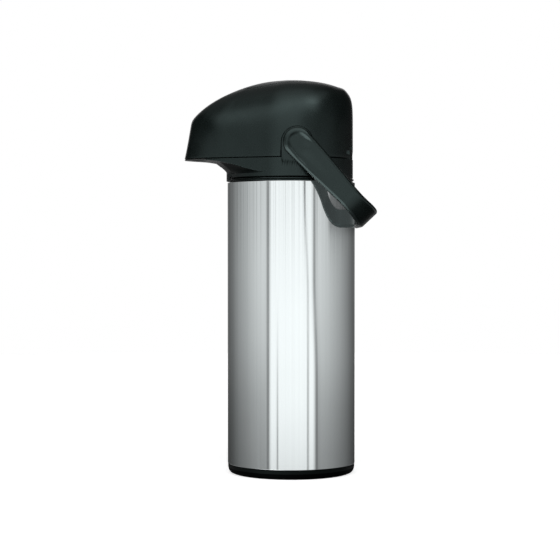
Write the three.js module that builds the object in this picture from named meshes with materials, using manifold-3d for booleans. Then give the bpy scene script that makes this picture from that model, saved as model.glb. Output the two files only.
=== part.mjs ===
// Pump-top thermal coffee airpot: mirror-polished steel body, black head with a
// hinged hood, a press pad on top, a forward spout and a swinging carry handle.
// Millimetres, +Z up. Origin: centre of the foot ring on the table.
// The spout points along -Y, the hood hinge is at +Y, the handle turns about X.
import * as THREE from "three";
import { mergeVertices } from "three/addons/utils/BufferGeometryUtils.js";
import Module from "manifold-3d";

const wasm = await Module();
wasm.setup();

// ---------------------------------------------------------------- dimensions
const RING_FACETS = 40; // every large coaxial ring
const FINE_FACETS = 64; // cylinders that trim the collar's added parts
const SCREW_FACETS = 8;

const BODY_R = 63.5; // outer radius of the steel jacket
const BODY_WALL = 1.0;
const BODY_BOTTOM = 9.8;
const BODY_TOP = 288.9;
const FOOT_R_IN = 44; // foot ring, standing face
const FOOT_R_OUT = 58.8;

const PART_Z = 312.0; // parting plane between the fixed collar and the hood
const PART_GAP = 0.3; // half of the gap at that plane
const HOOD_BASE = PART_Z + PART_GAP;
const HEAD_R = 61.5; // rear radius of hood and collar
const HOOD_WALL = 2.6;
const CUT_TOP = 430; // cutters end here, above the crown

// Nose of the head, in plan.
const NOSE_Y = 106; // reach in front of the axis
const NOSE_START = -66; // y where the straight flank begins to round in
const GENTLE_R = 127.3; // plan radius of that first round
const TURN_DEG = -40; // plan direction where the tighter corner round takes over
const FLANK_DEG = -22.35; // plan direction where the rear round becomes the flank
const NOSE_LEAN = 7.1; // how far the nose's front face leans back over its height
const LEAN_START = 78; // the lean grows between these distances in front of the axis
const LEAN_END = 104;

const HINGE = { y: 56, z: 318, radius: 1.8 }; // hood hinge pin
const PIVOT = { y: 5.4, z: 326, radius: 3.0 }; // handle pivot pins
const PIVOT_END = 67.2; // outer end of each pivot pin
const PIN_CLEARANCE = 0.3;
const TUBE_Y = -22; // dip tube axis
const NOZZLE_Y = -92;
const PUMP = { y: 12, bottom: 316.4, top: 356.4 }; // bellows and return spring
const PAD = { y: -4, halfX: 31, halfY: 46, squareness: 2.6, bottom: 372, gap: 0.6 };

const SCREW_HOLE_R = 2.0;
const SCREW_R = 1.5;
const SCREW_HEAD_R = 3.1;
const BASE_SCREWS = placesOnCircle(49.3, [60, 180, 300]);
const COLLAR_SCREWS = placesOnCircle(52.5, [45, 135, 225, 315]);
const HOOD_SCREWS = [[42, -30], [42, 30], [-42, 30], [-42, -30]]; // [x, y]

// Height of the hood's top edge along the centre plane: [y, z], front to back.
const CROWN = [
  [-106, 345], [-98, 353], [-92, 357.9], [-86, 362.5], [-80, 366.7], [-74, 370.3],
  [-68, 373.6], [-62, 376.4], [-56, 379], [-50, 381.3], [-44, 383.5], [-38, 385.3],
  [-32, 386.9], [-26, 388.2], [-20, 389.2], [-14, 389.8], [-8, 390.1], [-2, 390.1],
  [4, 390], [10, 389.6], [16, 389.2], [22, 388.6], [28, 387.8], [34, 386.9],
  [40, 385.7], [46, 384.3], [52, 382.7], [58, 381], [61.5, 380],
];
// Squareness of the hood's shoulder: [plan direction in degrees from +X, exponent].
const SHOULDER = [
  [-90, 12], [-84, 9], [-78, 6.5], [-70, 4.8], [-60, 3.8], [-45, 3.2], [-30, 3.0],
  [0, 3.1], [30, 3.8], [55, 5.5], [75, 8], [90, 10],
];
// Lower edge of the collar's flared side: [y, z], front to back.
const FLARE = [
  [-106, 311.2], [-86, 310.7], [-76, 309.5], [-60, 306.3], [-52, 304.1], [-45, 301.7],
  [-40, 300.5], [-36, 299.4], [-32, 298.8], [62, 298.8],
];
// Foot of the collar's outer form: [radius, height].
const COLLAR_FOOT = [
  [58.2, 294.2], [58.5, 293.4], [61.0, 293.5], [HEAD_R, 294.4], [HEAD_R, 296.8],
];
// Plan of the collar's front lug: [distance from the axis, degrees from -Y].
const FRONT_LUG = [
  [52, -22], [58, -22], [61, -19], [64.5, -8], [64.6, 0], [64.5, 8], [61, 19], [58, 22],
  [52, 22],
];
// Half width of the handle beyond its eyes: [distance from the pivot, half width].
const HANDLE_REACH = 103; // pivot to the grip's far face
const HANDLE_EDGE = [
  [30, 13], [60, 11], [80, 10.4], [92, 11.4], [99.5, 12], [102.2, 11], [HANDLE_REACH, 8.5],
];

// Outlines of the turned pieces: [radius, height].
const PROFILE = {
  body: [
    [BODY_R - BODY_WALL, BODY_BOTTOM], [BODY_R - 0.35, BODY_BOTTOM],
    [BODY_R, BODY_BOTTOM + 0.7], [BODY_R, BODY_TOP - 0.8],
    [BODY_R - 0.3, BODY_TOP], [BODY_R - BODY_WALL, BODY_TOP],
  ],
  baseRing: [
    [FOOT_R_IN, 0], [FOOT_R_OUT, 0], [60.9, 0.9], [62.4, 2.9], [63.1, 5.6], [63.2, 9.3],
    [62.2, 9.4], [62.2, 24], [59.8, 24], [59.8, 8.6], [FOOT_R_IN, 8.6],
  ],
  basePlate: [
    [0, 0], [43.2, 0], [43.4, 0.4], [43.4, 9], [57.5, 9], [57.5, 11.4], [41, 11.4],
    [41, 2.4], [0, 2.4],
  ],
  baseScrew: [
    [0, 1.4], [SCREW_HEAD_R, 1.4], [SCREW_HEAD_R, 3.7], [SCREW_R, 3.7], [SCREW_R, 11.2],
    [0, 11.2],
  ],
  cushion: [[26, 11.8], [50, 11.8], [53, 15], [53, 26], [51, 26], [47, 19.8], [26, 19.8]],
  // Double wall; the space between the walls opens at the bottom tip.
  liner: [
    [0, 29.4], [40, 29.6], [47.5, 33.5], [50, 42], [50, 238], [33, 268], [33, 283.8],
    [38, 283.8], [38, 270.4], [57, 245], [57, 40], [50.6, 29.5], [40, 20.4], [2.4, 20.4],
    [2.4, 22.2], [39.4, 22.2], [49, 30.4], [55.2, 40.8], [55.2, 244.4], [36.2, 269.8],
    [36.2, 282.2], [34.8, 282.2], [34.8, 268.5], [51.8, 238.5], [51.8, 42], [49, 32.6],
    [40.6, 27.8], [0, 27.6],
  ],
  neckRing: [
    [36, 286.2], [36, 293.8], [57.2, 293.8], [58, 292.6], [61.4, 292.6], [62.4, 292],
    [62.4, 291.3], [61.3, 290.7], [61.3, 289.7], [62.2, 289], [62.2, 268], [59.7, 268],
    [59.7, 286.2],
  ],
  mouthGasket: [[33.5, 284.1], [41, 284.1], [41, 285.8], [33.5, 285.8]],
  stopperPlug: [
    [0, 262], [30.4, 262], [30.4, 294.2], [44, 294.2], [44, 298], [27.8, 298],
    [27.8, 265], [0, 265],
  ],
  stopperCover: [[0, 298.4], [43.4, 298.4], [43.4, 301], [0, 301]],
  stopperSeal: [[30.8, 272], [32.5, 273.5], [32.5, 276.5], [30.8, 278]],
  dipTube: [[3.2, 33], [4.6, 33], [4.6, 309], [3.2, 309]],
  outletSeal: [[3.3, 309.3], [7, 309.3], [6.2, 311.8], [3.3, 311.8]],
  collarScrew: [
    [0, 288], [SCREW_R, 288], [SCREW_R, 299.8], [SCREW_HEAD_R, 299.8],
    [SCREW_HEAD_R, 301.8], [0, 301.8],
  ],
  hoodScrew: [[0, 312.8], [SCREW_R, 312.8], [SCREW_R, 326], [0, 326]],
  nozzle: [[5.1, 312.8], [6.6, 312.8], [7.0, 314], [7.0, 325], [5.1, 325]],
  plunger: [[0, 356.8], [26.4, 356.8], [26.4, 359.4], [9.4, 359.4], [9.4, 384.4], [0, 384.4]],
};
// Pivot pin: [radius, distance from the centre plane].
const PIVOT_PROFILE = [
  [0, 55.2], [5, 55.2], [5, 56.8], [PIVOT.radius, 56.8], [PIVOT.radius, PIVOT_END],
  [0, PIVOT_END],
];

// ----------------------------------------------------------------- materials
const BLACK = 0x1c2524;
const DARK = 0x161c1b;
const FINISH = {
  mirrorSteel: { color: 0xc9cccd, roughness: 0.06, metalness: 1 },
  linerMirror: { color: 0xd7dcdc, roughness: 0.05, metalness: 1 },
  tubeSteel: { color: 0xc4c8c9, roughness: 0.2, metalness: 1 },
  pipeSteel: { color: 0xc4c8c9, roughness: 0.3, metalness: 1 },
  springSteel: { color: 0xb0b4b4, roughness: 0.3, metalness: 1 },
  screwSteel: { color: 0xb9bcbc, roughness: 0.35, metalness: 1 },
  pinSteel: { color: 0xb9bcbc, roughness: 0.3, metalness: 1 },
  foot: { color: 0x0b0f0f, roughness: 0.55 },
  basePlate: { color: DARK, roughness: 0.6 },
  inside: { color: DARK, roughness: 0.5 },
  latch: { color: DARK, roughness: 0.4 },
  hood: { color: BLACK, roughness: 0.28 },
  black: { color: BLACK, roughness: 0.3 },
  collar: { color: BLACK, roughness: 0.32 },
  stopper: { color: 0x20282a, roughness: 0.5 },
  nozzle: { color: 0x1d2223, roughness: 0.4 },
  handle: { color: 0x2a3333, roughness: 0.3 },
  cushion: { color: 0x2a2a28, roughness: 0.9 },
  gasket: { color: 0x3b3b38, roughness: 0.85 },
  seal: { color: 0x9c9c98, roughness: 0.8 },
  bellows: { color: 0x33322f, roughness: 0.85 },
};

// ------------------------------------------------------------------- helpers
function radians(degrees) {
  return (degrees * Math.PI) / 180;
}
function directionDeg(x, y) {
  return (Math.atan2(y, x) * 180) / Math.PI;
}
function unitVector(degrees) {
  return { x: Math.cos(radians(degrees)), y: Math.sin(radians(degrees)) };
}
function placesOnCircle(radius, directions) {
  return directions.map((deg) => {
    const { x, y } = unitVector(deg);
    return [radius * x, radius * y];
  });
}
// Spans along X of a feature on the +X side and its mirror image.
const bothSides = (inner, outer) => [[inner, outer], [-outer, -inner]];

// Linear interpolation in a two-column table, held at both ends.
function interpolate(rows, x) {
  if (x <= rows[0][0]) return rows[0][1];
  const next = rows.findIndex((row) => x <= row[0]);
  if (next < 0) return rows[rows.length - 1][1];
  const [startX, startY] = rows[next - 1];
  const [endX, endY] = rows[next];
  return startY + ((endY - startY) * (x - startX)) / (endX - startX);
}

// A closed three.js geometry as a manifold solid.
function solid(geometry) {
  const bare = geometry.index ? geometry.toNonIndexed() : geometry.clone();
  bare.deleteAttribute("normal");
  bare.deleteAttribute("uv");
  const merged = mergeVertices(bare, 1e-3);
  const corners = merged.index.array;
  const triangles = [];
  for (let i = 0; i < corners.length; i += 3) {
    const [first, second, third] = corners.slice(i, i + 3);
    if (first !== second && second !== third && first !== third)
      triangles.push(first, second, third);
  }
  return new wasm.Manifold(
    new wasm.Mesh({
      numProp: 3,
      vertProperties: new Float32Array(merged.attributes.position.array),
      triVerts: new Uint32Array(triangles),
    }),
  );
}
function geometryOf(manifold) {
  const mesh = manifold.getMesh();
  const geometry = new THREE.BufferGeometry();
  const positions = new Float32Array(mesh.vertProperties);
  geometry.setAttribute("position", new THREE.BufferAttribute(positions, 3));
  geometry.setIndex(new THREE.BufferAttribute(new Uint32Array(mesh.triVerts), 1));
  geometry.computeVertexNormals();
  return geometry;
}
const cutAll = (part, ...tools) => tools.reduce((rest, tool) => rest.subtract(solid(tool)), part);

// Screw holes at [x, y] places; each bore is [radius, bottom, top].
function drill(part, places, ...bores) {
  for (const [x, y] of places)
    for (const [radius, bottom, top] of bores)
      part = cutAll(part, rodZ(radius, [bottom, top], x, y, SCREW_FACETS));
  return part;
}

// A ring or a turned solid about a vertical axis; profile is [radius, height].
function turned(profile, facets = RING_FACETS, x = 0, y = 0) {
  const points = profile.map(([radius, height]) => new THREE.Vector2(radius, height));
  const meetsAxis = points[0].x < 1e-6 && points[points.length - 1].x < 1e-6;
  if (!meetsAxis) points.push(points[0].clone());
  // The lathe faces outwards only for a counter-clockwise outline.
  if (THREE.ShapeUtils.area(points) < 0) points.reverse();
  return new THREE.LatheGeometry(points, facets).rotateX(Math.PI / 2).translate(x, y, 0);
}

// Spans are [from, to] along the axis in question.
function box(spanX, spanY, spanZ) {
  const spans = [spanX, spanY, spanZ];
  return new THREE.BoxGeometry(...spans.map(([from, to]) => to - from))
    .translate(...spans.map(([from, to]) => (from + to) / 2));
}
function rodZ(radius, [bottom, top], x, y, facets = 16) {
  return new THREE.CylinderGeometry(radius, radius, top - bottom, facets)
    .rotateX(Math.PI / 2)
    .translate(x, y, (bottom + top) / 2);
}
function rodX(radius, [from, to], y, z, facets = 24) {
  return new THREE.CylinderGeometry(radius, radius, to - from, facets)
    .rotateZ(Math.PI / 2)
    .translate((from + to) / 2, y, z);
}
const polygon = (points) => new THREE.Shape(points.map(([x, y]) => new THREE.Vector2(x, y)));
function prism(shape, [bottom, top], curveSegments = 12) {
  const options = { depth: top - bottom, bevelEnabled: false, curveSegments };
  return new THREE.ExtrudeGeometry(shape, options).translate(0, 0, bottom);
}
// An outline of [y, z] points pushed along X.
function slabX(points, spanX) {
  const turnAxes = new THREE.Matrix4().makeBasis(
    new THREE.Vector3(0, 1, 0), new THREE.Vector3(0, 0, 1), new THREE.Vector3(1, 0, 0));
  return prism(polygon(points), spanX).applyMatrix4(turnAxes);
}
function arc({ y, z }, radius, start, sweep, steps) {
  return Array.from({ length: steps + 1 }, (_, i) => {
    const angle = start + (sweep * i) / steps;
    return [y + radius * Math.cos(angle), z + radius * Math.sin(angle)];
  });
}
// Round-topped upright whose foot is at height foot.
function arch(centre, radius, foot, steps = 20) {
  return [
    [centre.y - radius, foot], [centre.y + radius, foot],
    ...arc(centre, radius, 0, Math.PI, steps),
  ];
}
function disc(radius) {
  const shape = new THREE.Shape();
  shape.absarc(0, 0, radius, 0, 2 * Math.PI, false);
  return shape;
}

const airpot = new THREE.Group();
airpot.name = "airpot";
function addPiece(name, geometry, finish) {
  const mesh = new THREE.Mesh(geometry, new THREE.MeshStandardMaterial(finish));
  mesh.name = name;
  airpot.add(mesh);
}
function addScrews(name, places, profile) {
  places.forEach(([x, y], i) =>
    addPiece(`${name}_${i + 1}`, turned(profile, SCREW_FACETS, x, y), FINISH.screwSteel));
}

// ------------------------------------------------------ plan and head forms
// Plan outline of the head: rear round, straight flank, two rounds, flat nose.
const FLANK_NORMAL = unitVector(FLANK_DEG);
const TURN_NORMAL = unitVector(TURN_DEG);
const GENTLE_ROUND = {
  x: (HEAD_R - FLANK_NORMAL.y * NOSE_START) / FLANK_NORMAL.x - GENTLE_R * FLANK_NORMAL.x,
  y: NOSE_START - GENTLE_R * FLANK_NORMAL.y,
  radius: GENTLE_R,
};
const TURN_POINT = {
  x: GENTLE_ROUND.x + GENTLE_R * TURN_NORMAL.x,
  y: GENTLE_ROUND.y + GENTLE_R * TURN_NORMAL.y,
};
const CORNER_R = (NOSE_Y + TURN_POINT.y) / (1 + TURN_NORMAL.y);
const CORNER_ROUND = {
  x: TURN_POINT.x - CORNER_R * TURN_NORMAL.x,
  y: TURN_POINT.y - CORNER_R * TURN_NORMAL.y,
  radius: CORNER_R,
};

// Distance from the axis to that outline, moved in by inset, in direction angle.
function planRadius(angle, inset) {
  const rearRadius = HEAD_R - inset;
  const x = Math.abs(Math.cos(angle));
  const y = Math.sin(angle);
  const direction = directionDeg(x, y);
  const edgeOf = (round, normal) => {
    const radius = round.radius - inset;
    return directionDeg(round.x + radius * normal.x, round.y + radius * normal.y);
  };
  const distanceTo = (round) => {
    const radius = round.radius - inset;
    const along = round.x * x + round.y * y;
    const square = along * along - (round.x * round.x + round.y * round.y - radius * radius);
    return along + Math.sqrt(Math.max(0, square));
  };
  if (direction >= FLANK_DEG) return rearRadius;
  if (direction >= edgeOf(GENTLE_ROUND, FLANK_NORMAL))
    return rearRadius / (x * FLANK_NORMAL.x + y * FLANK_NORMAL.y);
  if (direction >= edgeOf(CORNER_ROUND, TURN_NORMAL)) return distanceTo(GENTLE_ROUND);
  if (direction >= edgeOf(CORNER_ROUND, { x: 0, y: -1 })) return distanceTo(CORNER_ROUND);
  return (NOSE_Y - inset) / Math.abs(y);
}

// Plan directions, closer together round the nose; counter-clockwise from -Y.
const HALF_PLAN_DEG = [
  -90, -87, -84, -81, -78, -75, -71, -66, -59, -50, -41, -32, -22.5, -11, 0, 11, 22.5,
  34, 45, 56, 67, 78.5,
];
const PLAN = [
  ...HALF_PLAN_DEG, 90, ...HALF_PLAN_DEG.slice(1).reverse().map((deg) => 180 - deg),
].map(radians);

// A solid skinned over upright sections, one per plan direction. Each section
// lists [x, y, z] points from the bottom centre to the top centre.
function skinned(sectionAt) {
  const sections = PLAN.map(sectionAt);
  const levels = sections[0].length;
  const stem = Array.from({ length: levels }, (_, j) =>
    new THREE.Vector2(j === 0 || j === levels - 1 ? 0 : 10, j));
  const geometry = new THREE.LatheGeometry(stem, PLAN.length);
  const position = geometry.getAttribute("position");
  for (let i = 0; i <= PLAN.length; i++)
    sections[i % PLAN.length].forEach((point, j) => position.setXYZ(i * levels + j, ...point));
  return solid(geometry);
}

// The hood's outer form, or the same form moved in by inset and down by drop.
const RISE_DEG = [0, 14, 28, 38, 45, 51, 58, 66, 74, 82, 90]; // from rim to crown
function hoodForm(inset, drop, base) {
  return skinned((angle) => {
    const edge = planRadius(angle, inset);
    const direction = directionDeg(Math.abs(Math.cos(angle)), Math.sin(angle));
    const power = interpolate(SHOULDER, direction);
    const shoulder = RISE_DEG.map((rise) => {
      const { x: cosine, y: sine } = unitVector(rise);
      const scale = Math.pow(Math.pow(cosine, power) + Math.pow(sine, power), -1 / power);
      const radius = rise === 90 ? 0 : edge * (scale * cosine);
      const lift = scale * sine;
      let y = radius * Math.sin(angle);
      y += NOSE_LEAN * lift * THREE.MathUtils.smoothstep(-y, LEAN_START, LEAN_END);
      // The rim sits just above the base so that the two rings stay apart.
      const z = rise === 0
        ? HOOD_BASE + 0.001
        : HOOD_BASE + (interpolate(CROWN, y) - HOOD_BASE - drop) * lift;
      return [radius * Math.cos(angle), y, z];
    });
    return [[0, 0, base], [edge * Math.cos(angle), edge * Math.sin(angle), base], ...shoulder];
  });
}

// The collar's form: round band below, flaring into the horn under the nose.
const FLARE_REACH = 23; // greatest reach of the curved part of the flare
function collarForm({ inset, foot, flareStart, flareLift, top }) {
  const band = HEAD_R - inset;
  return skinned((angle) => {
    const edge = planRadius(angle, inset);
    const flareEnd = Math.min(
      top - 0.6, interpolate(FLARE, edge * Math.sin(angle)) + flareLift);
    const reach = Math.min(edge - band, FLARE_REACH);
    const flareAt = (fraction) => {
      const turn = (fraction * Math.PI) / 2;
      const rise = Math.sin(turn) ** (1 + (1.6 * reach) / FLARE_REACH);
      return [band + reach * (1 - Math.cos(turn)), flareStart + (flareEnd - flareStart) * rise];
    };
    return [
      [0, foot[0][1]], ...foot, flareAt(0.33), flareAt(0.66), [band + reach, flareEnd],
      [edge, flareEnd + 0.2], [edge, top], [0, top],
    ].map(([radius, z]) => [radius * Math.cos(angle), radius * Math.sin(angle), z]);
  });
}

// Superellipse outline of the press pad, grown outwards by grow.
function padOutline(grow) {
  const count = 36;
  const bulge = (value) => Math.sign(value) * Math.pow(Math.abs(value), 2 / PAD.squareness);
  return polygon(Array.from({ length: count }, (_, i) => {
    const angle = (2 * Math.PI * i) / count;
    return [
      (PAD.halfX + grow) * bulge(Math.cos(angle)),
      PAD.y + (PAD.halfY + grow) * bulge(Math.sin(angle)),
    ];
  }));
}

// ------------------------------------------------------------ body and base
addPiece("outer_body_shell", turned(PROFILE.body), FINISH.mirrorSteel);

// The wider bore sinks the screw heads into the foot ring.
const baseRing = drill(
  solid(turned(PROFILE.baseRing)), BASE_SCREWS, [SCREW_HOLE_R, -1, 10], [3.7, -1, 4]);
addPiece("base_ring", geometryOf(baseRing), FINISH.foot);

const basePlate = drill(solid(turned(PROFILE.basePlate)), BASE_SCREWS, [SCREW_HOLE_R, 8, 12]);
addPiece("base_plate", geometryOf(basePlate), FINISH.basePlate);
addScrews("base_screw", BASE_SCREWS, PROFILE.baseScrew);

addPiece("liner_cushion", turned(PROFILE.cushion, 24), FINISH.cushion);
addPiece("vacuum_liner", turned(PROFILE.liner, 24), FINISH.linerMirror);

const neckRing = drill(
  solid(turned(PROFILE.neckRing)), COLLAR_SCREWS, [SCREW_HOLE_R, 280, 296]);
addPiece("neck_ring", geometryOf(neckRing), FINISH.black);
addPiece("mouth_gasket", turned(PROFILE.mouthGasket, 36), FINISH.gasket);

// -------------------------------------------------------- stopper and riser
// A stopper part with a hole for the dip tube and one below the bellows.
function stopperPart(profile, holeSpan, pumpHoleRadius) {
  return geometryOf(cutAll(
    solid(turned(profile, 36)),
    rodZ(5.0, holeSpan, 0, TUBE_Y),
    rodZ(pumpHoleRadius, holeSpan, 0, PUMP.y)));
}
addPiece("stopper_plug", stopperPart(PROFILE.stopperPlug, [260, 267], 4), FINISH.stopper);
addPiece("stopper_cover", stopperPart(PROFILE.stopperCover, [297, 302], 6), FINISH.stopper);
addPiece("stopper_seal", turned(PROFILE.stopperSeal, 36), FINISH.seal);
addPiece("dip_tube", turned(PROFILE.dipTube, 12, 0, TUBE_Y), FINISH.tubeSteel);
addPiece("outlet_seal", turned(PROFILE.outletSeal, 20, 0, TUBE_Y), FINISH.seal);

// ------------------------------------------------------------------- collar
const COLLAR_WALL = 3;
const COLLAR_BORE_R = 46;
const EAR_R = 15.1; // ears that carry the handle pivots
const KNUCKLE_R = 5.2;
const COLLAR_TRIM = [280, 350]; // trimming cylinders span the whole collar
const LATCH = { halfWidth: 9, front: -65.6, back: -56.6, bottom: 299.95, top: 304.25 };
const LATCH_SIDE_GAP = 0.4;
const LATCH_GAP = 0.35; // above and below the button

function collarShell() {
  const innerRadius = HEAD_R - COLLAR_WALL;
  const outside = collarForm({
    inset: 0, foot: COLLAR_FOOT, flareStart: 296.6, flareLift: 0, top: PART_Z - PART_GAP,
  });
  const inside = collarForm({
    inset: COLLAR_WALL,
    foot: [[innerRadius, 299.5], [innerRadius, 299.8]],
    flareStart: 299.8,
    flareLift: 2.6,
    top: PART_Z + 1.5,
  });
  return cutAll(outside.subtract(inside), rodZ(COLLAR_BORE_R, [290, 320], 0, 0, RING_FACETS));
}
// Front lug at the collar's foot, hollowed to clear the neck ring.
function frontLug() {
  const outline = FRONT_LUG.map(([radius, deg]) =>
    [radius * Math.sin(radians(deg)), -radius * Math.cos(radians(deg))]);
  return cutAll(
    solid(prism(polygon(outline), [290.2, 298.6])),
    rodZ(62.8, [280, 294.6], 0, 0, FINE_FACETS));
}
function headCollar() {
  let collar = collarShell();
  const earTrim = solid(rodZ(62.7, COLLAR_TRIM, 0, 0, FINE_FACETS));
  for (const span of bothSides(57.2, 62.3))
    collar = collar.add(solid(slabX(arch(PIVOT, EAR_R, 297.5), span)).intersect(earTrim));
  // Two hinge knuckles at the rear, with room between them for the hood's lug.
  const rearTrim = solid(rodZ(HEAD_R, COLLAR_TRIM, 0, 0, FINE_FACETS));
  for (const span of bothSides(9.8, 21.8))
    collar = collar.add(solid(slabX(arch(HINGE, KNUCKLE_R, 298, 10), span)).intersect(rearTrim));
  const latchHalf = LATCH.halfWidth + LATCH_SIDE_GAP;
  collar = cutAll(collar.add(frontLug()),
    rodX(HINGE.radius + PIN_CLEARANCE, [-20, 20], HINGE.y, HINGE.z, 12),
    ...bothSides(50, 70).map((span) =>
      rodX(PIVOT.radius + PIN_CLEARANCE, span, PIVOT.y, PIVOT.z)),
    box([-latchHalf, latchHalf], [-80, -50], [LATCH.bottom - LATCH_GAP, LATCH.top + LATCH_GAP]),
    rodZ(8, [300, 320], 0, NOZZLE_Y, 24));
  return geometryOf(drill(collar, COLLAR_SCREWS, [SCREW_HOLE_R, 290, 305]));
}
addPiece("head_collar", headCollar(), FINISH.collar);
addScrews("collar_screw", COLLAR_SCREWS, PROFILE.collarScrew);
addPiece("latch_button", box(
  [-LATCH.halfWidth, LATCH.halfWidth], [LATCH.front, LATCH.back], [LATCH.bottom, LATCH.top],
), FINISH.latch);
addPiece("lid_hinge_pin",
  rodX(HINGE.radius, [-19.6, 19.6], HINGE.y, HINGE.z, 12), FINISH.pinSteel);
for (const [side, sign] of [["right", 1], ["left", -1]]) {
  const points = PIVOT_PROFILE.map(([radius, along]) => new THREE.Vector2(radius, along));
  const pin = new THREE.LatheGeometry(points, 24)
    .rotateZ((-sign * Math.PI) / 2)
    .translate(0, PIVOT.y, PIVOT.z);
  addPiece(`handle_pivot_pin_${side}`, pin, FINISH.pinSteel);
}

// --------------------------------------------------------------------- hood
const WELL_WALL = 1.8; // wall of the well round the press pad
const WELL_BOTTOM = 350;
const BOSS_R = 4.4;
const EAR_SLOT_R = 15.6;
const EAR_SLOT_RELIEF = 1.5; // front edge runs out at the foot so the hood lifts over the ear
const HOOD_LUG = { radius: 5, halfWidth: 9.4, top: 331 };
const TRAY_GAP = 0.8; // between the inner plate and the hood wall
const TRAY_CUT = [310, 320]; // cutters pass right through the inner plate

const hoodOuter = hoodForm(0, 0, HOOD_BASE);

// Central hinge lug: rounded underneath, squared off inside the hood.
function hoodLug() {
  const { radius, halfWidth, top } = HOOD_LUG;
  const outline = [
    ...arc(HINGE, radius, 0, -Math.PI, 12), [HINGE.y - radius, top], [HINGE.y + radius, top],
  ];
  return solid(slabX(outline, [-halfWidth, halfWidth])).intersect(hoodOuter);
}
function hoodShell() {
  let hood = hoodOuter.subtract(hoodForm(HOOD_WALL, HOOD_WALL, 300));
  const well = prism(padOutline(PAD.gap + WELL_WALL), [WELL_BOTTOM, 420]);
  hood = hood.add(solid(well).intersect(hoodOuter));
  hood = cutAll(hood, prism(padOutline(PAD.gap), [300, CUT_TOP]));
  for (const [x, y] of HOOD_SCREWS)
    hood = hood.add(solid(rodZ(BOSS_R, [316.4, 400], x, y, 12)).intersect(hoodOuter));
  const earSlot = arch(PIVOT, EAR_SLOT_R, 300);
  earSlot[0][0] -= EAR_SLOT_RELIEF;
  hood = cutAll(hood,
    box([-22.4, 22.4], [49, 70], [300, 324.5]), // room for the collar's knuckles
    ...bothSides(53, 75).map((span) => slabX(earSlot, span)));
  hood = drill(hood, HOOD_SCREWS, [SCREW_HOLE_R, 310, 330]).add(hoodLug());
  return cutAll(hood, rodX(HINGE.radius + PIN_CLEARANCE, [-40, 40], HINGE.y, HINGE.z, 12));
}
addPiece("hood_shell", geometryOf(hoodShell()), FINISH.hood);

function hoodInnerPlate() {
  const outline = PLAN.map((angle) => {
    const radius = planRadius(angle, HOOD_WALL + TRAY_GAP);
    return [radius * Math.cos(angle), radius * Math.sin(angle)];
  });
  const earNotch = [PIVOT.y - 18.5, PIVOT.y + 18.5];
  const tray = cutAll(solid(prism(polygon(outline), [313, 316])),
    box([-30, 30], [47.5, 80], TRAY_CUT), // hinge notch
    ...bothSides(52.5, 70).map((span) => box(span, earNotch, TRAY_CUT)),
    rodZ(6, TRAY_CUT, 0, TUBE_Y),
    rodZ(9, TRAY_CUT, 0, PUMP.y, 24),
    rodZ(7.6, TRAY_CUT, 0, NOZZLE_Y, 24));
  return geometryOf(drill(tray, HOOD_SCREWS, [SCREW_HOLE_R, 310, 330]));
}
addPiece("hood_inner_plate", hoodInnerPlate(), FINISH.inside);
addScrews("hood_screw", HOOD_SCREWS, PROFILE.hoodScrew);

// -------------------------------------------------------------------- spout
const PIPE = {
  radius: 4.4, bore: 3.1, inlet: 312.7, top: 331, outlet: 318, rearBend: 10, frontBend: 9,
};
// Delivery pipe from the riser, forward under the hood, down to the nozzle.
function spoutPipe() {
  const { top, rearBend, frontBend } = PIPE;
  const at = (y, z) => new THREE.Vector3(0, y, z);
  const riseEnd = at(TUBE_Y, top - rearBend);
  const runStart = at(TUBE_Y - rearBend, top);
  const runEnd = at(NOZZLE_Y + frontBend, top);
  const dropStart = at(NOZZLE_Y, top - frontBend);
  const path = new THREE.CurvePath();
  path.add(new THREE.LineCurve3(at(TUBE_Y, PIPE.inlet), riseEnd));
  path.add(new THREE.QuadraticBezierCurve3(riseEnd, at(TUBE_Y, top), runStart));
  path.add(new THREE.LineCurve3(runStart, runEnd));
  path.add(new THREE.QuadraticBezierCurve3(runEnd, at(NOZZLE_Y, top), dropStart));
  path.add(new THREE.LineCurve3(dropStart, at(NOZZLE_Y, PIPE.outlet)));
  const section = disc(PIPE.radius);
  const bore = new THREE.Path();
  bore.absarc(0, 0, PIPE.bore, 0, 2 * Math.PI, true);
  section.holes.push(bore);
  return new THREE.ExtrudeGeometry(section, {
    steps: 18, extrudePath: path, bevelEnabled: false, curveSegments: 5,
  });
}
addPiece("spout_pipe", spoutPipe(), FINISH.pipeSteel);
addPiece("spout_nozzle", turned(PROFILE.nozzle, 24, 0, NOZZLE_Y), FINISH.nozzle);

// --------------------------------------------------------------------- pump
const BELLOWS = { folds: 5, valley: 21.5, ridge: 26, wall: 1.5 };
const SPRING = { turns: 5, radius: 15, wire: 0.9, endGap: 1.2 };

function bellows() {
  const { folds, valley, ridge, wall } = BELLOWS;
  const pitch = (PUMP.top - PUMP.bottom) / folds;
  const outside = [];
  for (let i = 0; i <= folds; i++) {
    const z = PUMP.bottom + i * pitch;
    outside.push([valley, z]);
    if (i < folds) outside.push([ridge, z + pitch / 2]);
  }
  const inside = outside.map(([radius, z]) => [radius - wall, z]).reverse();
  return turned([...outside, ...inside], 18, 0, PUMP.y);
}
addPiece("bellows", bellows(), FINISH.bellows);

class Helix extends THREE.Curve {
  getPoint(fraction, target = new THREE.Vector3()) {
    const { turns, radius, endGap } = SPRING;
    const angle = fraction * 2 * Math.PI * turns;
    const height = PUMP.top - PUMP.bottom - 2 * endGap;
    return target.set(
      radius * Math.cos(angle),
      PUMP.y + radius * Math.sin(angle),
      PUMP.bottom + endGap + fraction * height);
  }
}
addPiece("return_spring", new THREE.ExtrudeGeometry(disc(SPRING.wire), {
  steps: 60, extrudePath: new Helix(), bevelEnabled: false, curveSegments: 3,
}), FINISH.springSteel);

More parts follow.
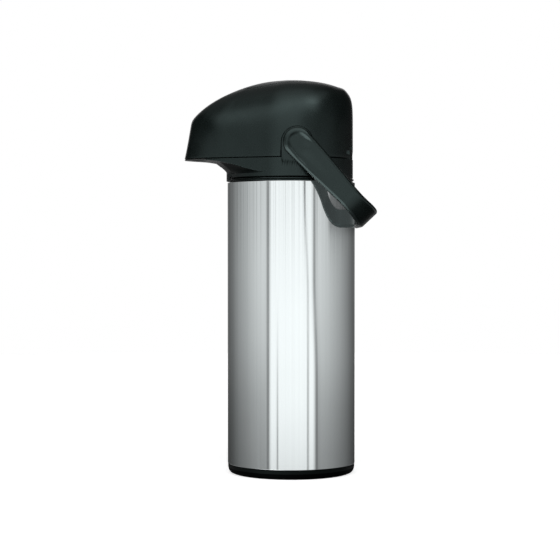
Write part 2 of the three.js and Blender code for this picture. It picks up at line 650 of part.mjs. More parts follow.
// Press pad, flush with the hood's crown, and the plunger under it.
function pressPad() {
  const hollow = hoodForm(HOOD_WALL, 3, 300)
    .intersect(solid(prism(padOutline(-2.4), [300, CUT_TOP])));
  return hoodOuter.intersect(solid(prism(padOutline(0), [PAD.bottom, 420]))).subtract(hollow);
}
addPiece("press_pad", geometryOf(pressPad()), FINISH.black);
addPiece("press_plunger", turned(PROFILE.plunger, 24, 0, PUMP.y), FINISH.inside);

// ------------------------------------------------------------------- handle
const ARM_IN = 64; // inner face of the handle's arms
const ARM_OUT = 70;
const GRIP_THICKNESS = 5;
const GRIP_CORNER_R = 31;
const EYE_R = 14; // rounded ends of the arms about the pivot
const HANDLE_REST_DEG = 46.7; // droop of the handle behind the body

// U-shaped plan, filled, with +Y as the reach from the pivot.
function handlePlan(halfWidth, reach, radius) {
  const cornerX = halfWidth - radius;
  const cornerY = reach - radius;
  const shape = new THREE.Shape();
  shape.moveTo(halfWidth, -30).lineTo(halfWidth, cornerY);
  shape.absarc(cornerX, cornerY, radius, 0, Math.PI / 2, false);
  shape.lineTo(-cornerX, reach);
  shape.absarc(-cornerX, cornerY, radius, Math.PI / 2, Math.PI, false);
  shape.lineTo(-halfWidth, -30);
  return solid(prism(shape, [-25, 25], 10));
}
// Built level with its pivot on the X axis, then turned to its rest droop.
function handle() {
  const sideView = [
    ...arc({ y: 0, z: 0 }, EYE_R, Math.PI / 2, Math.PI, 10),
    ...HANDLE_EDGE.map(([reach, half]) => [reach, -half]),
    ...HANDLE_EDGE.slice().reverse(),
  ];
  const opening = handlePlan(
    ARM_IN, HANDLE_REACH - GRIP_THICKNESS, GRIP_CORNER_R - GRIP_THICKNESS);
  const blank = handlePlan(ARM_OUT, HANDLE_REACH, GRIP_CORNER_R)
    .subtract(opening)
    .intersect(solid(slabX(sideView, [-80, 80])));
  const pinHoles = bothSides(60, PIVOT_END + PIN_CLEARANCE)
    .map((span) => rodX(PIVOT.radius + PIN_CLEARANCE, span, 0, 0));
  return geometryOf(cutAll(blank, ...pinHoles))
    .rotateX(-radians(HANDLE_REST_DEG))
    .translate(0, PIVOT.y, PIVOT.z);
}
addPiece("handle", handle(), FINISH.handle);

export default airpot;
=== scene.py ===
"""A vacuum pump pot: steel body, hinged hood with a nose, press pad and carry handle.

It stands on z = 0 with its axis on Z. The nose points to -Y, the hood hinges at +Y, and
the camera looks from +X. Lengths are in millimetres; make() turns them into metres.
"""
import bpy
import bmesh
import math
import numpy as np
from functools import cached_property
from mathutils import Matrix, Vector


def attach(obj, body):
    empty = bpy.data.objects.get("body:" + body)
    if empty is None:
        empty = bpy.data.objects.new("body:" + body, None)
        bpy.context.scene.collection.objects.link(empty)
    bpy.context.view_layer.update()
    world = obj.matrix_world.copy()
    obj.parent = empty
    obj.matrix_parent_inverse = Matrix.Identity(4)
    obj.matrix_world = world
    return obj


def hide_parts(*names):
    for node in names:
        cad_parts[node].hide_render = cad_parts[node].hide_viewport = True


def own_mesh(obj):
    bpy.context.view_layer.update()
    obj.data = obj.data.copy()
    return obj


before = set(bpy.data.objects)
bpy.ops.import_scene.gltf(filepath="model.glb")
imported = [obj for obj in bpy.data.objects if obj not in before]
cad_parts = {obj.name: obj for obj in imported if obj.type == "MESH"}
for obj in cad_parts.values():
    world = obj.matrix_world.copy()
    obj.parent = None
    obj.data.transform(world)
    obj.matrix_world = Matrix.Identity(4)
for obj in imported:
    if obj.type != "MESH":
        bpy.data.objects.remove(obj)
scene = bpy.context.scene


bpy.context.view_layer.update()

# ---------------------------------------------------------------- driving dimensions
MM = 0.001
BODY_R, BODY_Z0, BODY_Z1 = 63.5, 9.8, 288.9   # steel jacket
PART_Z, GAP = 312.0, 0.3                      # parting of collar and hood, gap on each side
HOOD_Z = PART_Z + GAP
HEAD_R, NOSE_Y = 61.5, 106.0                  # head: round part, reach of the nose to -Y
FLANK = math.radians(-22.35)                  # bearing of the straight flank's normal
NOSE_START, NOSE_R1 = -66.0, 127.3            # y where the first nose round starts, its radius
NOSE_TURN = math.radians(-40)                 # bearing where the second nose round takes over
LEAN = 7.1                                    # the nose's lean back at the crown
COLLAR_Z0, CAVITY_Z0 = 294.2, 299.5           # undersides of the collar and of its cavity
FLARE_R = 23.0                                # greatest reach of the curve under the nose
HINGE_Y, HINGE_Z, HINGE_R = 56.0, 318.0, 1.8
BORE_R = HINGE_R + 0.3
PIV_Y, PIV_Z = 5.4, 326.0                     # handle pivots
PAD_Y, PAD_SX, PAD_SY, PAD_N = -4.0, 31.0, 46.0, 2.6   # superellipse: centre, half axes, power
PAD_BOTTOM, PAD_WALL = 372.0, 2.4
PUMP_Y, PUMP_Z0, PUMP_Z1 = 12.0, 316.4, 356.4
TUBE_Y, NOZZLE_Y = -22.0, -92.0
# screw circles: radius, bearings in degrees
BASE_SCREWS = (49.3, (60, 180, 300))
NECK_SCREWS = (52.5, (45, 135, 225, 315))


# ---------------------------------------------------------------- curves
def pchip(rows):
    """Monotone cubic through (position, value) rows, held level beyond the ends."""
    xs = np.array([row[0] for row in rows], float)
    ys = np.array([row[1] for row in rows], float)
    step = np.diff(xs)
    slope = np.diff(ys) / step
    tangent = np.zeros(len(xs))
    for i in range(1, len(xs) - 1):
        if slope[i - 1] * slope[i] > 0:
            before, after = 2 * step[i] + step[i - 1], step[i] + 2 * step[i - 1]
            tangent[i] = (before + after) / (before / slope[i - 1] + after / slope[i])
    tangent[0], tangent[-1] = slope[0], slope[-1]

    def value(x):
        x = np.clip(np.asarray(x, float), xs[0], xs[-1])
        i = np.clip(np.searchsorted(xs, x) - 1, 0, len(step) - 1)
        t = (x - xs[i]) / step[i]
        return ((2 * t**3 - 3 * t**2 + 1) * ys[i] + (t**3 - 2 * t**2 + t) * step[i] * tangent[i]
                + (-2 * t**3 + 3 * t**2) * ys[i + 1] + (t**3 - t**2) * step[i] * tangent[i + 1])
    return value


def smoothstep(start, end, x):
    t = np.clip((np.asarray(x, float) - start) / (end - start), 0, 1)
    return t * t * (3 - 2 * t)


# the hood's top line in the YZ plane: y, z
CROWN_ROWS = [
    (-98, 353.0), (-92, 357.9), (-86, 362.5), (-80, 366.7), (-74, 370.3), (-68, 373.6),
    (-62, 376.4), (-56, 379.0), (-50, 381.3), (-44, 383.5), (-38, 385.3), (-32, 386.9),
    (-26, 388.2), (-20, 389.2), (-14, 389.8), (-8, 390.1), (-2, 390.1), (4, 390.0),
    (10, 389.6), (16, 389.2), (22, 388.6), (28, 387.8), (34, 386.9), (40, 385.7),
    (46, 384.3), (52, 382.7), (58, 381.0), (61.5, 380.0)]
CROWN_Y = np.array([row[0] for row in CROWN_ROWS])
CROWN_FIT = np.polyfit(CROWN_Y / 100, np.array([row[1] for row in CROWN_ROWS]), 8)
# fullness of the hood's section: bearing in degrees, superellipse power
SHOULDER = pchip([(-90, 30), (-86, 26), (-81, 14), (-77, 8), (-72, 5), (-66, 4), (-58, 3.4),
                  (-45, 3.1), (-30, 3.0), (0, 3.1), (30, 3.8), (55, 5.5), (75, 8), (90, 10)])
# the collar's lower edge under the nose: y, z
FLARE = pchip([(-106, 311.2), (-86, 310.7), (-76, 309.5), (-60, 306.3), (-52, 304.1),
               (-45, 301.7), (-40, 300.5), (-36, 299.4), (-32, 298.8), (62, 298.8)])


def crown(y):
    y = np.asarray(y, float)
    z = np.polyval(CROWN_FIT, np.clip(y, CROWN_Y[0], CROWN_Y[-1]) / 100)
    z = z + 1.3 * np.exp(-((y - 52) / 4.5) ** 2)  # slight swell near the hinge
    return np.where(y < CROWN_Y[0], z + (y - CROWN_Y[0]), z)


# plan outline of the head, on the +X side: unit normals and round centres as (x, y)
FLANK_NORMAL = np.array([math.cos(FLANK), math.sin(FLANK)])
TURN_NORMAL = np.array([math.cos(NOSE_TURN), math.sin(NOSE_TURN)])
FLANK_END = np.array([(HEAD_R - FLANK_NORMAL[1] * NOSE_START) / FLANK_NORMAL[0], NOSE_START])
CENTRE1 = FLANK_END - NOSE_R1 * FLANK_NORMAL
TURN_AT = CENTRE1 + NOSE_R1 * TURN_NORMAL
NOSE_R2 = (NOSE_Y + TURN_AT[1]) / (1 + TURN_NORMAL[1])
CENTRE2 = TURN_AT - NOSE_R2 * TURN_NORMAL


def plan_radius(bearing, inset=0.0):
    """Distance from the axis to the plan outline: rear round, flank, two rounds, flat nose."""
    bearing = np.asarray(bearing, float)
    rear, r1, r2 = HEAD_R - inset, NOSE_R1 - inset, NOSE_R2 - inset
    x, y = np.abs(np.cos(bearing)), np.sin(bearing)
    angle = np.arctan2(y, x)

    def edge(centre, radius, normal):
        return math.atan2(centre[1] + radius * normal[1], centre[0] + radius * normal[0])

    def hit(centre, radius):
        b = centre[0] * x + centre[1] * y
        return b + np.sqrt(np.maximum(0, b * b - (centre @ centre - radius * radius)))

    line = rear / np.maximum(x * FLANK_NORMAL[0] + y * FLANK_NORMAL[1], 1e-6)
    front = (NOSE_Y - inset) / np.maximum(np.abs(y), 1e-6)
    out = np.where(angle >= edge(CENTRE2, r2, (0, -1)), hit(CENTRE2, r2), front)
    out = np.where(angle >= edge(CENTRE2, r2, TURN_NORMAL), hit(CENTRE1, r1), out)
    out = np.where(angle >= edge(CENTRE1, r1, FLANK_NORMAL), line, out)
    return np.where(angle >= FLANK, rear, out)


# bearings of the head's mesh columns, closest together round the nose
HALF_PLAN = np.concatenate([np.arange(-90, -74, 0.6), np.arange(-74, -60, 1.2),
                            np.arange(-60, -22.4, 1.8), np.arange(-22.4, 90, 2.2), [90.0]])
PLAN = np.radians(np.concatenate([HALF_PLAN, (180 - HALF_PLAN[1:-1])[::-1]]))
# elevations of the hood's rings, in degrees, closest together on the shoulder
ELEVATIONS = np.concatenate([np.arange(0, 35, 2.5), np.arange(35, 42, 1.2),
                             np.arange(42, 48, 0.6), np.arange(48, 56, 1.3),
                             np.arange(56, 89, 2.6)])


def shoulder_power(bearing):
    return SHOULDER(np.degrees(np.arctan2(np.sin(bearing), np.abs(np.cos(bearing)))))


def hood_rings(inset, drop, base):
    """Rings from the height base upwards, and the pole that closes them."""
    power = shoulder_power(PLAN)
    radius = plan_radius(PLAN, inset)
    rings = []
    for elevation in np.radians(ELEVATIONS):
        c, s = math.cos(elevation), math.sin(elevation)
        rho = (c**power + s**power) ** (-1 / power)
        out, rise = rho * c, rho * s
        r = radius * out
        x, y = r * np.cos(PLAN), r * np.sin(PLAN)
        y = y + LEAN * rise * smoothstep(-78, -104, y) * (1 - inset / 30)
        z = base + (crown(y) - base - drop) * rise
        rings.append(np.stack([x, y, z], 1))
    return rings, np.array([0, 0, float(crown(0.0)) - drop])


def crown_z(x, y):
    """Height of the hood's outer form over a plan point well behind the nose."""
    bearing = np.arctan2(y, x)
    power = shoulder_power(bearing)
    out = np.hypot(x, y) / plan_radius(bearing)
    rise = np.maximum(0, 1 - out**power) ** (1 / power)
    return HOOD_Z + (crown(y) - HOOD_Z) * rise


# ---------------------------------------------------------------- mesh helpers
def make(name, verts, faces):
    mesh = bpy.data.meshes.new(name)
    mesh.from_pydata([tuple(float(c) * MM for c in v) for v in verts], [], faces)
    mesh.validate()
    mesh.update()
    ob = bpy.data.objects.new(name, mesh)
    scene.collection.objects.link(ob)
    bm = bmesh.new()
    bm.from_mesh(mesh)
    bmesh.ops.remove_doubles(bm, verts=bm.verts, dist=1e-7)
    bmesh.ops.recalc_face_normals(bm, faces=bm.faces)
    bm.to_mesh(mesh)
    bm.free()
    return ob


def ring_stack(name, rings, start=None, end=None, closed=False):
    """Quads between rings; start and end are poles, closed joins the last ring to the first."""
    verts, faces = [], []
    size, count = len(rings[0]), len(rings)
    for ring in rings:
        verts.extend(ring)
    for j in range(count if closed else count - 1):
        a, b = j * size, ((j + 1) % count) * size
        for i in range(size):
            k = (i + 1) % size
            faces.append((a + i, a + k, b + k, b + i))
    if start is not None:
        verts.append(start)
        pole = len(verts) - 1
        faces += [(pole, (i + 1) % size, i) for i in range(size)]
    if end is not None:
        verts.append(end)
        pole = len(verts) - 1
        last = (count - 1) * size
        faces += [(pole, last + i, last + (i + 1) % size) for i in range(size)]
    return make(name, verts, faces)


def fillet(corners, steps=5):
    """Rounds a closed outline; corners are (radius, height, rounding)."""
    points = [np.array(corner[:2], float) for corner in corners]
    out = []
    for i, point in enumerate(points):
        rounding = corners[i][2]
        if rounding <= 0:
            out.append(point)
            continue
        u, v = points[i - 1] - point, points[(i + 1) % len(points)] - point
        len_u, len_v = np.linalg.norm(u), np.linalg.norm(v)
        u, v = u / len_u, v / len_v
        angle = math.acos(max(-1, min(1, float(u @ v))))
        if angle > math.radians(176):
            out.append(point)
            continue
        cut = min(rounding / math.tan(angle / 2), 0.48 * len_u, 0.48 * len_v)
        r = cut * math.tan(angle / 2)
        centre = point + (u + v) / np.linalg.norm(u + v) * (r / math.sin(angle / 2))
        start = math.atan2(*(point + u * cut - centre)[::-1])
        end = math.atan2(*(point + v * cut - centre)[::-1])
        sweep = (end - start + math.pi) % (2 * math.pi) - math.pi
        for k in range(steps + 1):
            q = start + sweep * k / steps
            out.append(centre + r * np.array([math.cos(q), math.sin(q)]))
    return out


def cylinder(radius, low, high):
    """Profile of a plain cylinder, for turned and turned_x."""
    return [(0, low), (radius, low), (radius, high), (0, high)]


def circle(count):
    return np.linspace(0, 2 * math.pi, count, endpoint=False)


def turned(name, profile, seg, x=0.0, y=0.0):
    """A solid of revolution about a vertical axis; profile is (radius, height)."""
    c, s = np.cos(circle(seg)), np.sin(circle(seg))
    on_axis = profile[0][0] < 1e-6 and profile[-1][0] < 1e-6
    wall = profile[1:-1] if on_axis else profile
    rings = [np.stack([x + r * c, y + r * s, np.full(seg, z)], 1) for r, z in wall]
    if on_axis:
        return ring_stack(name, rings, (x, y, profile[0][1]), (x, y, profile[-1][1]))
    return ring_stack(name, rings, closed=True)


def turned_x(name, profile, y, z, sign=1, seg=64):
    """A solid of revolution about an axis along X; profile is (radius, x), axis to axis."""
    c, s = np.cos(circle(seg)), np.sin(circle(seg))
    rings = [np.stack([np.full(seg, sign * x), y + r * c, z + r * s], 1)
             for r, x in profile[1:-1]]
    return ring_stack(name, rings, (sign * profile[0][1], y, z), (sign * profile[-1][1], y, z))


def prism(name, outline, low, high, along_x=False):
    """Extrudes an (x, y) outline along Z, or a (y, z) outline along X."""
    n = len(outline)
    verts = [(d, p[0], p[1]) if along_x else (p[0], p[1], d)
             for d in (low, high) for p in outline]
    faces = [tuple(range(n)), tuple(range(2 * n - 1, n - 1, -1))]
    faces += [(i, (i + 1) % n, n + (i + 1) % n, n + i) for i in range(n)]
    return make(name, verts, faces)


def box(name, xs, ys, zs):
    (x0, x1), (y0, y1) = xs, ys
    return prism(name, [(x0, y0), (x1, y0), (x1, y1), (x0, y1)], *zs)


def bake(ob):
    bpy.context.view_layer.update()
    depsgraph = bpy.context.evaluated_depsgraph_get()
    mesh = bpy.data.meshes.new_from_object(ob.evaluated_get(depsgraph))
    ob.modifiers.clear()
    ob.data = mesh


def bevel(ob, width, segments=3, angle=30):
    mod = ob.modifiers.new("edge", "BEVEL")
    mod.width, mod.segments = width * MM, segments
    mod.limit_method, mod.angle_limit = "ANGLE", math.radians(angle)
    mod.harden_normals = False
    bake(ob)
    return ob


def carve(ob, tool, how="DIFFERENCE"):
    mod = ob.modifiers.new("b", "BOOLEAN")
    mod.object, mod.operation, mod.solver = tool, how, "EXACT"
    bake(ob)
    bpy.data.objects.remove(tool)
    return ob


def carve_screws(ob, screws, profile, seg):
    """Cuts the same turned hole at each place of a screw circle."""
    radius, bearings = screws
    for bearing in bearings:
        x = radius * math.cos(math.radians(bearing))
        y = radius * math.sin(math.radians(bearing))
        carve(ob, turned("hole", profile, seg, x, y))


def carve_bore(ob, half):
    """Cuts the hinge pin's bore, of the given half length."""
    carve(ob, turned_x("bore", cylinder(BORE_R, -half, half), HINGE_Y, HINGE_Z, seg=32))


def arch(y, z, radius, foot, steps):
    """A (y, z) outline: straight sides from foot up to a half round centred on y, z."""
    return [(y - radius, foot), (y + radius, foot)] + [
        (y + radius * math.cos(q), z + radius * math.sin(q))
        for q in np.linspace(0, math.pi, steps + 1)]


def plan_ring(radius, z):
    """A ring of points at the head's bearings."""
    return np.stack([radius * np.cos(PLAN), radius * np.sin(PLAN), z * np.ones_like(PLAN)], 1)


def pad_outline(grow, scale=1):
    c, s = np.cos(circle(160)), np.sin(circle(160))
    return np.stack([(PAD_SX + grow) * (np.sign(c) * np.abs(c) ** (2 / PAD_N)) * scale,
                     PAD_Y + (PAD_SY + grow) * (np.sign(s) * np.abs(s) ** (2 / PAD_N)) * scale],
                    1)


# ---------------------------------------------------------------- materials
def srgb(colour):
    """Linear colour from 0-255 sRGB."""
    return tuple((c / 255) / 12.92 if c / 255 <= 0.04045
                 else ((c / 255 + 0.055) / 1.055) ** 2.4 for c in colour)


def tinted(colour, gain, add=0.0):
    return tuple(min(1, c * gain + add) for c in colour)


class Nodes:
    """Short ways to add nodes to a tree; each returns an output socket, node the node."""

    def __init__(self, tree):
        self.tree = tree

    def node(self, kind, **settings):
        node = self.tree.nodes.new(kind)
        for key, value in settings.items():
            setattr(node, key, value)
        return node

    def feed(self, socket, value):
        """Links a socket, or sets a number or an RGB colour."""
        if isinstance(value, bpy.types.NodeSocket):
            self.tree.links.new(value, socket)
        else:
            socket.default_value = (*value, 1) if isinstance(value, tuple) else value

    def math(self, operation, *terms):
        node = self.node("ShaderNodeMath", operation=operation)
        for socket, term in zip(node.inputs, terms):
            self.feed(socket, term)
        return node.outputs[0]

    def times(self, a, b):
        return self.math("MULTIPLY", a, b)

    def plus(self, a, b):
        return self.math("ADD", a, b)

    def inverse(self, value):
        """One minus the value."""
        return self.math("SUBTRACT", 1.0, value)

    def remap(self, value, low, high, start=0, end=1, how="LINEAR"):
        """Takes low..high to start..end."""
        node = self.node("ShaderNodeMapRange", interpolation_type=how)
        names = ("Value", "From Min", "From Max", "To Min", "To Max")
        for name, term in zip(names, (value, low, high, start, end)):
            self.feed(node.inputs[name], term)
        return node.outputs["Result"]

    def ease(self, value, low, high, start=0, end=1):
        return self.remap(value, low, high, start, end, "SMOOTHSTEP")

    def mix_shader(self, factor, first, second):
        node = self.node("ShaderNodeMixShader")
        for socket, term in zip(node.inputs, (factor, first, second)):
            self.feed(socket, term)
        return node.outputs[0]


class Mat(Nodes):
    """A material built round its Principled shader."""

    def __init__(self, name):
        self.data = bpy.data.materials.new(name)
        self.data.use_nodes = True
        super().__init__(self.data.node_tree)
        self.shader = self.tree.nodes["Principled BSDF"]

    @cached_property
    def coords(self):
        return self.node("ShaderNodeTexCoord").outputs["Object"]

    def put(self, name, value):
        """Sets or links an input of the shader."""
        self.feed(self.shader.inputs[name], value)

    def noise(self, scale, detail, rough, stretch=None, distortion=0.0):
        """Noise in object space; stretch is a separate scale for each axis."""
        vector = self.coords
        if stretch:
            mapping = self.node("ShaderNodeMapping")
            mapping.inputs["Scale"].default_value = stretch
            self.feed(mapping.inputs["Vector"], vector)
            vector = mapping.outputs["Vector"]
        node = self.node("ShaderNodeTexNoise")
        names = ("Scale", "Detail", "Roughness", "Distortion", "Vector")
        for name, term in zip(names, (scale, detail, rough, distortion, vector)):
            self.feed(node.inputs[name], term)
        return node.outputs["Fac"]

    def mix(self, factor, first, second):
        node = self.node("ShaderNodeMix", data_type="RGBA")
        self.feed(node.inputs["Factor"], factor)
        for socket, term in zip([s for s in node.inputs if s.type == "RGBA"], (first, second)):
            self.feed(socket, term)
        return [s for s in node.outputs if s.type == "RGBA"][0]

    def bump(self, height, strength, distance, normal=None):
        node = self.node("ShaderNodeBump")
        self.feed(node.inputs["Strength"], strength)
        self.feed(node.inputs["Distance"], distance)
        self.feed(node.inputs["Height"], height)
        if normal is not None:
            self.feed(node.inputs["Normal"], normal)
        return node.outputs["Normal"]


def plastic(name, colour, rough, grain=0.12, spec=0.5, under=0.12):
    """Moulded plastic; under is the share of specular left on undersides, as painted shade."""
    m = Mat(name)
    colour = srgb(colour)
    cloud = m.noise(scale=22, detail=3, rough=0.5)
    smudge = m.noise(scale=70, detail=5, rough=0.6, distortion=0.4)
    fine = m.noise(scale=2600, detail=2, rough=0.5)
    shade = m.mix(m.remap(cloud, 0.3, 0.7), tinted(colour, 0.86), tinted(colour, 1.16, 0.001))
    # painted highlight: paler along convex edges, where the light catches them
    geometry = m.node("ShaderNodeNewGeometry")
    edge_highlight = m.remap(geometry.outputs["Pointiness"], 0.52, 0.60, end=0.35)
    m.put("Base Color", m.mix(edge_highlight, shade, tinted(colour, 1.8, 0.01)))
    m.put("Roughness", m.plus(m.remap(smudge, 0.35, 0.7, rough - 0.03, rough + 0.05),
                              m.remap(fine, 0, 1, -0.02, 0.02)))
    # less specular at grazing angles
    facing = m.node("ShaderNodeLayerWeight").outputs["Facing"]
    level = m.remap(facing, 0.35, 0.9, start=spec, end=spec * 0.22)
    # painted shade: reflections dimmed on faces turned downwards, where shade falls under things
    if under < 1:
        split = m.node("ShaderNodeSeparateXYZ")
        m.feed(split.inputs[0], geometry.outputs["Normal"])
        level = m.times(level, m.remap(split.outputs[2], -0.13, -0.03, start=under, end=1.0))
    m.put("Specular IOR Level", level)
    m.put("Specular Tint", (0.74, 1.0, 0.98))
    edges = m.node("ShaderNodeBevel", samples=4)
    edges.inputs["Radius"].default_value = 0.0006
    m.put("Normal", m.bump(fine, strength=grain, distance=0.00006,
                           normal=edges.outputs["Normal"]))
    return m


def steel(name, colour, rough, streak_bump, hair_bump):
    """Metal with upright streaks and level hairlines."""
    m = Mat(name)
    streak = m.noise(scale=1.0, detail=3, rough=0.6, stretch=(260, 260, 3.2))
    hair = m.noise(scale=1.0, detail=2, rough=0.5, stretch=(60, 60, 2600))
    cloud = m.noise(scale=16, detail=4, rough=0.55)
    m.put("Base Color", m.mix(m.remap(cloud, 0.3, 0.75), tinted(colour, 0.965), colour))
    m.put("Metallic", 1.0)
    m.put("Roughness", m.plus(m.remap(cloud, 0.35, 0.75, rough - 0.015, rough + 0.02),
                              m.remap(streak, 0.35, 0.65, -0.012, 0.02)))
    streaked = m.bump(streak, strength=streak_bump, distance=0.00005)
    m.put("Normal", m.bump(hair, strength=hair_bump, distance=0.00003, normal=streaked))
    return m


def rubber(name, colour, rough):
    m = Mat(name)
    colour = srgb(colour)
    fine = m.noise(scale=900, detail=3, rough=0.6)
    cloud = m.noise(scale=45, detail=4, rough=0.6)
    m.put("Base Color", m.mix(m.remap(cloud, 0.3, 0.7), tinted(colour, 0.8), tinted(colour, 1.2)))
    m.put("Roughness", m.remap(cloud, 0.3, 0.7, start=rough - 0.08, end=rough + 0.08))
    m.put("Normal", m.bump(fine, strength=0.35, distance=0.0001))
    return m


def silvered(name):
    m = Mat(name)
    cloud = m.noise(scale=30, detail=4, rough=0.6)
    m.put("Base Color", m.mix(m.remap(cloud, 0.3, 0.7), (0.66, 0.70, 0.70), (0.80, 0.83, 0.82)))
    m.put("Metallic", 0.9)
    m.put("Roughness", m.remap(cloud, 0.3, 0.7, start=0.05, end=0.14))
    m.put("Coat Weight", 0.5)
    return m


def handle_plastic():
    m = plastic("handle_black", (14, 20, 19), rough=0.28, under=1)
    # painted glow, seen only in reflections: it stands in for light thrown back between the bar
    # and the bright steel
    glossy = m.node("ShaderNodeLightPath").outputs["Is Glossy Ray"]
    m.put("Emission Color", (0.88, 1.0, 1.0))
    m.put("Emission Strength", m.times(glossy, 0.05))
    return m


HEAD = plastic("head_black", (11, 17, 16), rough=0.27)
PAD = plastic("pad_black", (12, 17, 17), rough=0.30)
HANDLE = handle_plastic()
NECK = plastic("neck_black", (9, 13, 12), rough=0.22)
BASE = plastic("base_black", (3, 4, 4), rough=0.5, spec=0.1)
INNER = plastic("inner_plastic", (44, 48, 50), rough=0.5, grain=0.3)
NOZZLE = plastic("nozzle_black", (20, 24, 24), rough=0.35)
SHELL = steel("polished_steel", (0.795, 0.845, 0.85), 0.07, streak_bump=0.05, hair_bump=0.03)
TUBE = steel("tube_steel", (0.66, 0.67, 0.68), 0.22, streak_bump=0.2, hair_bump=0.2)
FAST = steel("fastener_steel", (0.58, 0.59, 0.60), 0.3, streak_bump=0.2, hair_bump=0.2)
GREY = rubber("grey_silicone", (150, 150, 146), rough=0.6)
DARK = rubber("dark_rubber", (46, 45, 43), rough=0.75)
GLASS = silvered("silvered_glass")


def dress(ob, material, angle, weighted=False):
    """Smooth shading split at the angle, and the material."""
    mesh = ob.data
    mesh.polygons.foreach_set("use_smooth", [True] * len(mesh.polygons))
    mesh.set_sharp_from_angle(angle=math.radians(angle))
    if weighted:
        mod = ob.modifiers.new("wn", "WEIGHTED_NORMAL")
        mod.keep_sharp = True
        mod.weight = 80
    mesh.materials.clear()
    mesh.materials.append(material.data)


def finish_piece(ob, material, body, node, angle=32, weighted=False):
    dress(ob, material, angle, weighted)
    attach(ob, body)
    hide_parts(node)


# ---------------------------------------------------------------- body
def steel_jacket():
    low, high, inner = BODY_Z0, BODY_Z1, BODY_R - 1.0
    profile = [(inner, low + 0.1), (62.65, low), (63.3, low), (63.42, low + 0.05)]
    profile += [(BODY_R, low + rise) for rise in (0.2, 0.24, 0.4)]
    profile += [(BODY_R, float(z)) for z in np.linspace(low + 3, high - 3, 24)]
    profile += [(BODY_R, high - drop) for drop in (0.5, 0.34, 0.3)]
    profile += [(63.45, high - 0.12), (63.3, high), (62.7, high), (inner, high - 0.15),
                (inner, high - 3), (inner, low + 3)]
    finish_piece(turned("steel_jacket", profile, 320), SHELL, "body",
                 "outer_body_shell", angle=50)


def base_ring():
    base = turned("base", fillet([
        (44, 0, 0.4), (58.8, 0, 0.9), (60.9, 0.9, 1.5), (62.4, 2.9, 1.8), (63.1, 5.6, 1.8),
        (63.2, 9.3, 0.3), (62.2, 9.4, 0), (62.2, 24, 0.4), (59.8, 24, 0.4), (59.8, 8.6, 0.4),
        (44, 8.6, 0.4)]), 240)
    # countersunk from below
    hole = [(0, -2), (3.7, -2), (3.7, 4), (2.0, 4), (2.0, 12), (0, 12)]
    carve_screws(base, BASE_SCREWS, hole, 48)
    finish_piece(base, BASE, "body", "base_ring", weighted=True)


def base_plate():
    dish = fillet([(0, 0, 0), (43.4, 0, 0.5), (43.4, 9, 0.4), (57.5, 9, 0.4),
                   (57.5, 11.4, 0.4), (41, 11.4, 0.4), (41, 2.4, 0.6), (0, 2.4, 0)])
    # two shallow pressed rings on the underside
    pressed = [(12, 0), (12.6, 0.35), (14.4, 0.35), (15, 0),
               (30, 0), (30.6, 0.35), (32.4, 0.35), (33, 0)]
    plate = turned("base_cover", [(0, 0)] + pressed + dish[1:], 200)
    carve_screws(plate, BASE_SCREWS, cylinder(2.0, 7, 13), 40)
    finish_piece(plate, INNER, "body", "base_plate", weighted=True)


def neck_ring():
    neck = turned("neck", fillet([
        (36, 286.2, 0.3), (36, 293.8, 0.5), (57.2, 293.8, 0.4), (58, 292.6, 0.4),
        (61.4, 292.6, 0.8), (62.45, 292.1, 0.55), (62.45, 291.2, 0.55), (61.3, 290.7, 0.3),
        (61.3, 289.7, 0.3), (62.2, 289.1, 0.2), (62.2, 268, 0.4), (59.7, 268, 0.4),
        (59.7, 286.2, 0.5)]), 240)
    carve_screws(neck, NECK_SCREWS, cylinder(2.0, 280, 297), 40)
    finish_piece(neck, NECK, "body", "neck_ring", weighted=True)


# ---------------------------------------------------------------- collar
def collar_rings(inset, lift, low, high):
    """The collar's outside for lift 0, else its cavity, lift above the outside's flare."""
    wall = HEAD_R - inset
    top = plan_radius(PLAN, inset)
    flare_z = np.minimum(high - 0.6, FLARE(top * np.sin(PLAN)) + lift)
    flare = np.minimum(top - wall, FLARE_R)
    if lift:
        start = low + 0.3
        rows = [(wall, low)]
    else:
        start = 296.6
        # lip round the foot
        rows = [(58.2, low), (58.5, low - 1.0), (60.9, low - 1.0), (61.2, low - 0.95),
                (61.4, low - 0.75), (61.48, low - 0.45), (wall, low + 0.3)]
    for t in np.linspace(0, math.pi / 2, 12):
        rise = math.sin(t) ** (1 + 1.6 * flare / FLARE_R)
        rows.append((wall + flare * (1 - math.cos(t)),
                     start + 0.15 + (flare_z - start - 0.15) * rise))
    # flat underside of the nose, then its rounded lower edge
    flat = np.maximum(top - (wall + flare), 0)
    for q in (0.35, 0.7, 0.92):
        rows.append((wall + flare + flat * q, flare_z))
    edge = np.minimum(0.5, 0.5 * (high - flare_z))
    for t in (0.25, 0.6, 1.0):
        pull = 0.5 * (1 - math.sin(t * math.pi / 2)) * np.where(flat > 1, 1, 0.0)
        rows.append((top - pull, flare_z + edge * t))
    if lift:
        rows.append((top, high))
    else:
        rows += [(top, high - 0.5), (top - 0.12, high - 0.15), (top - 0.4, high)]
    return [plan_ring(radius, z) for radius, z in rows]


def head_round(radius, low, high, seg):
    """A plain cylinder on the pot's axis, to cut or trim with."""
    return turned("round", cylinder(radius, low, high), seg)


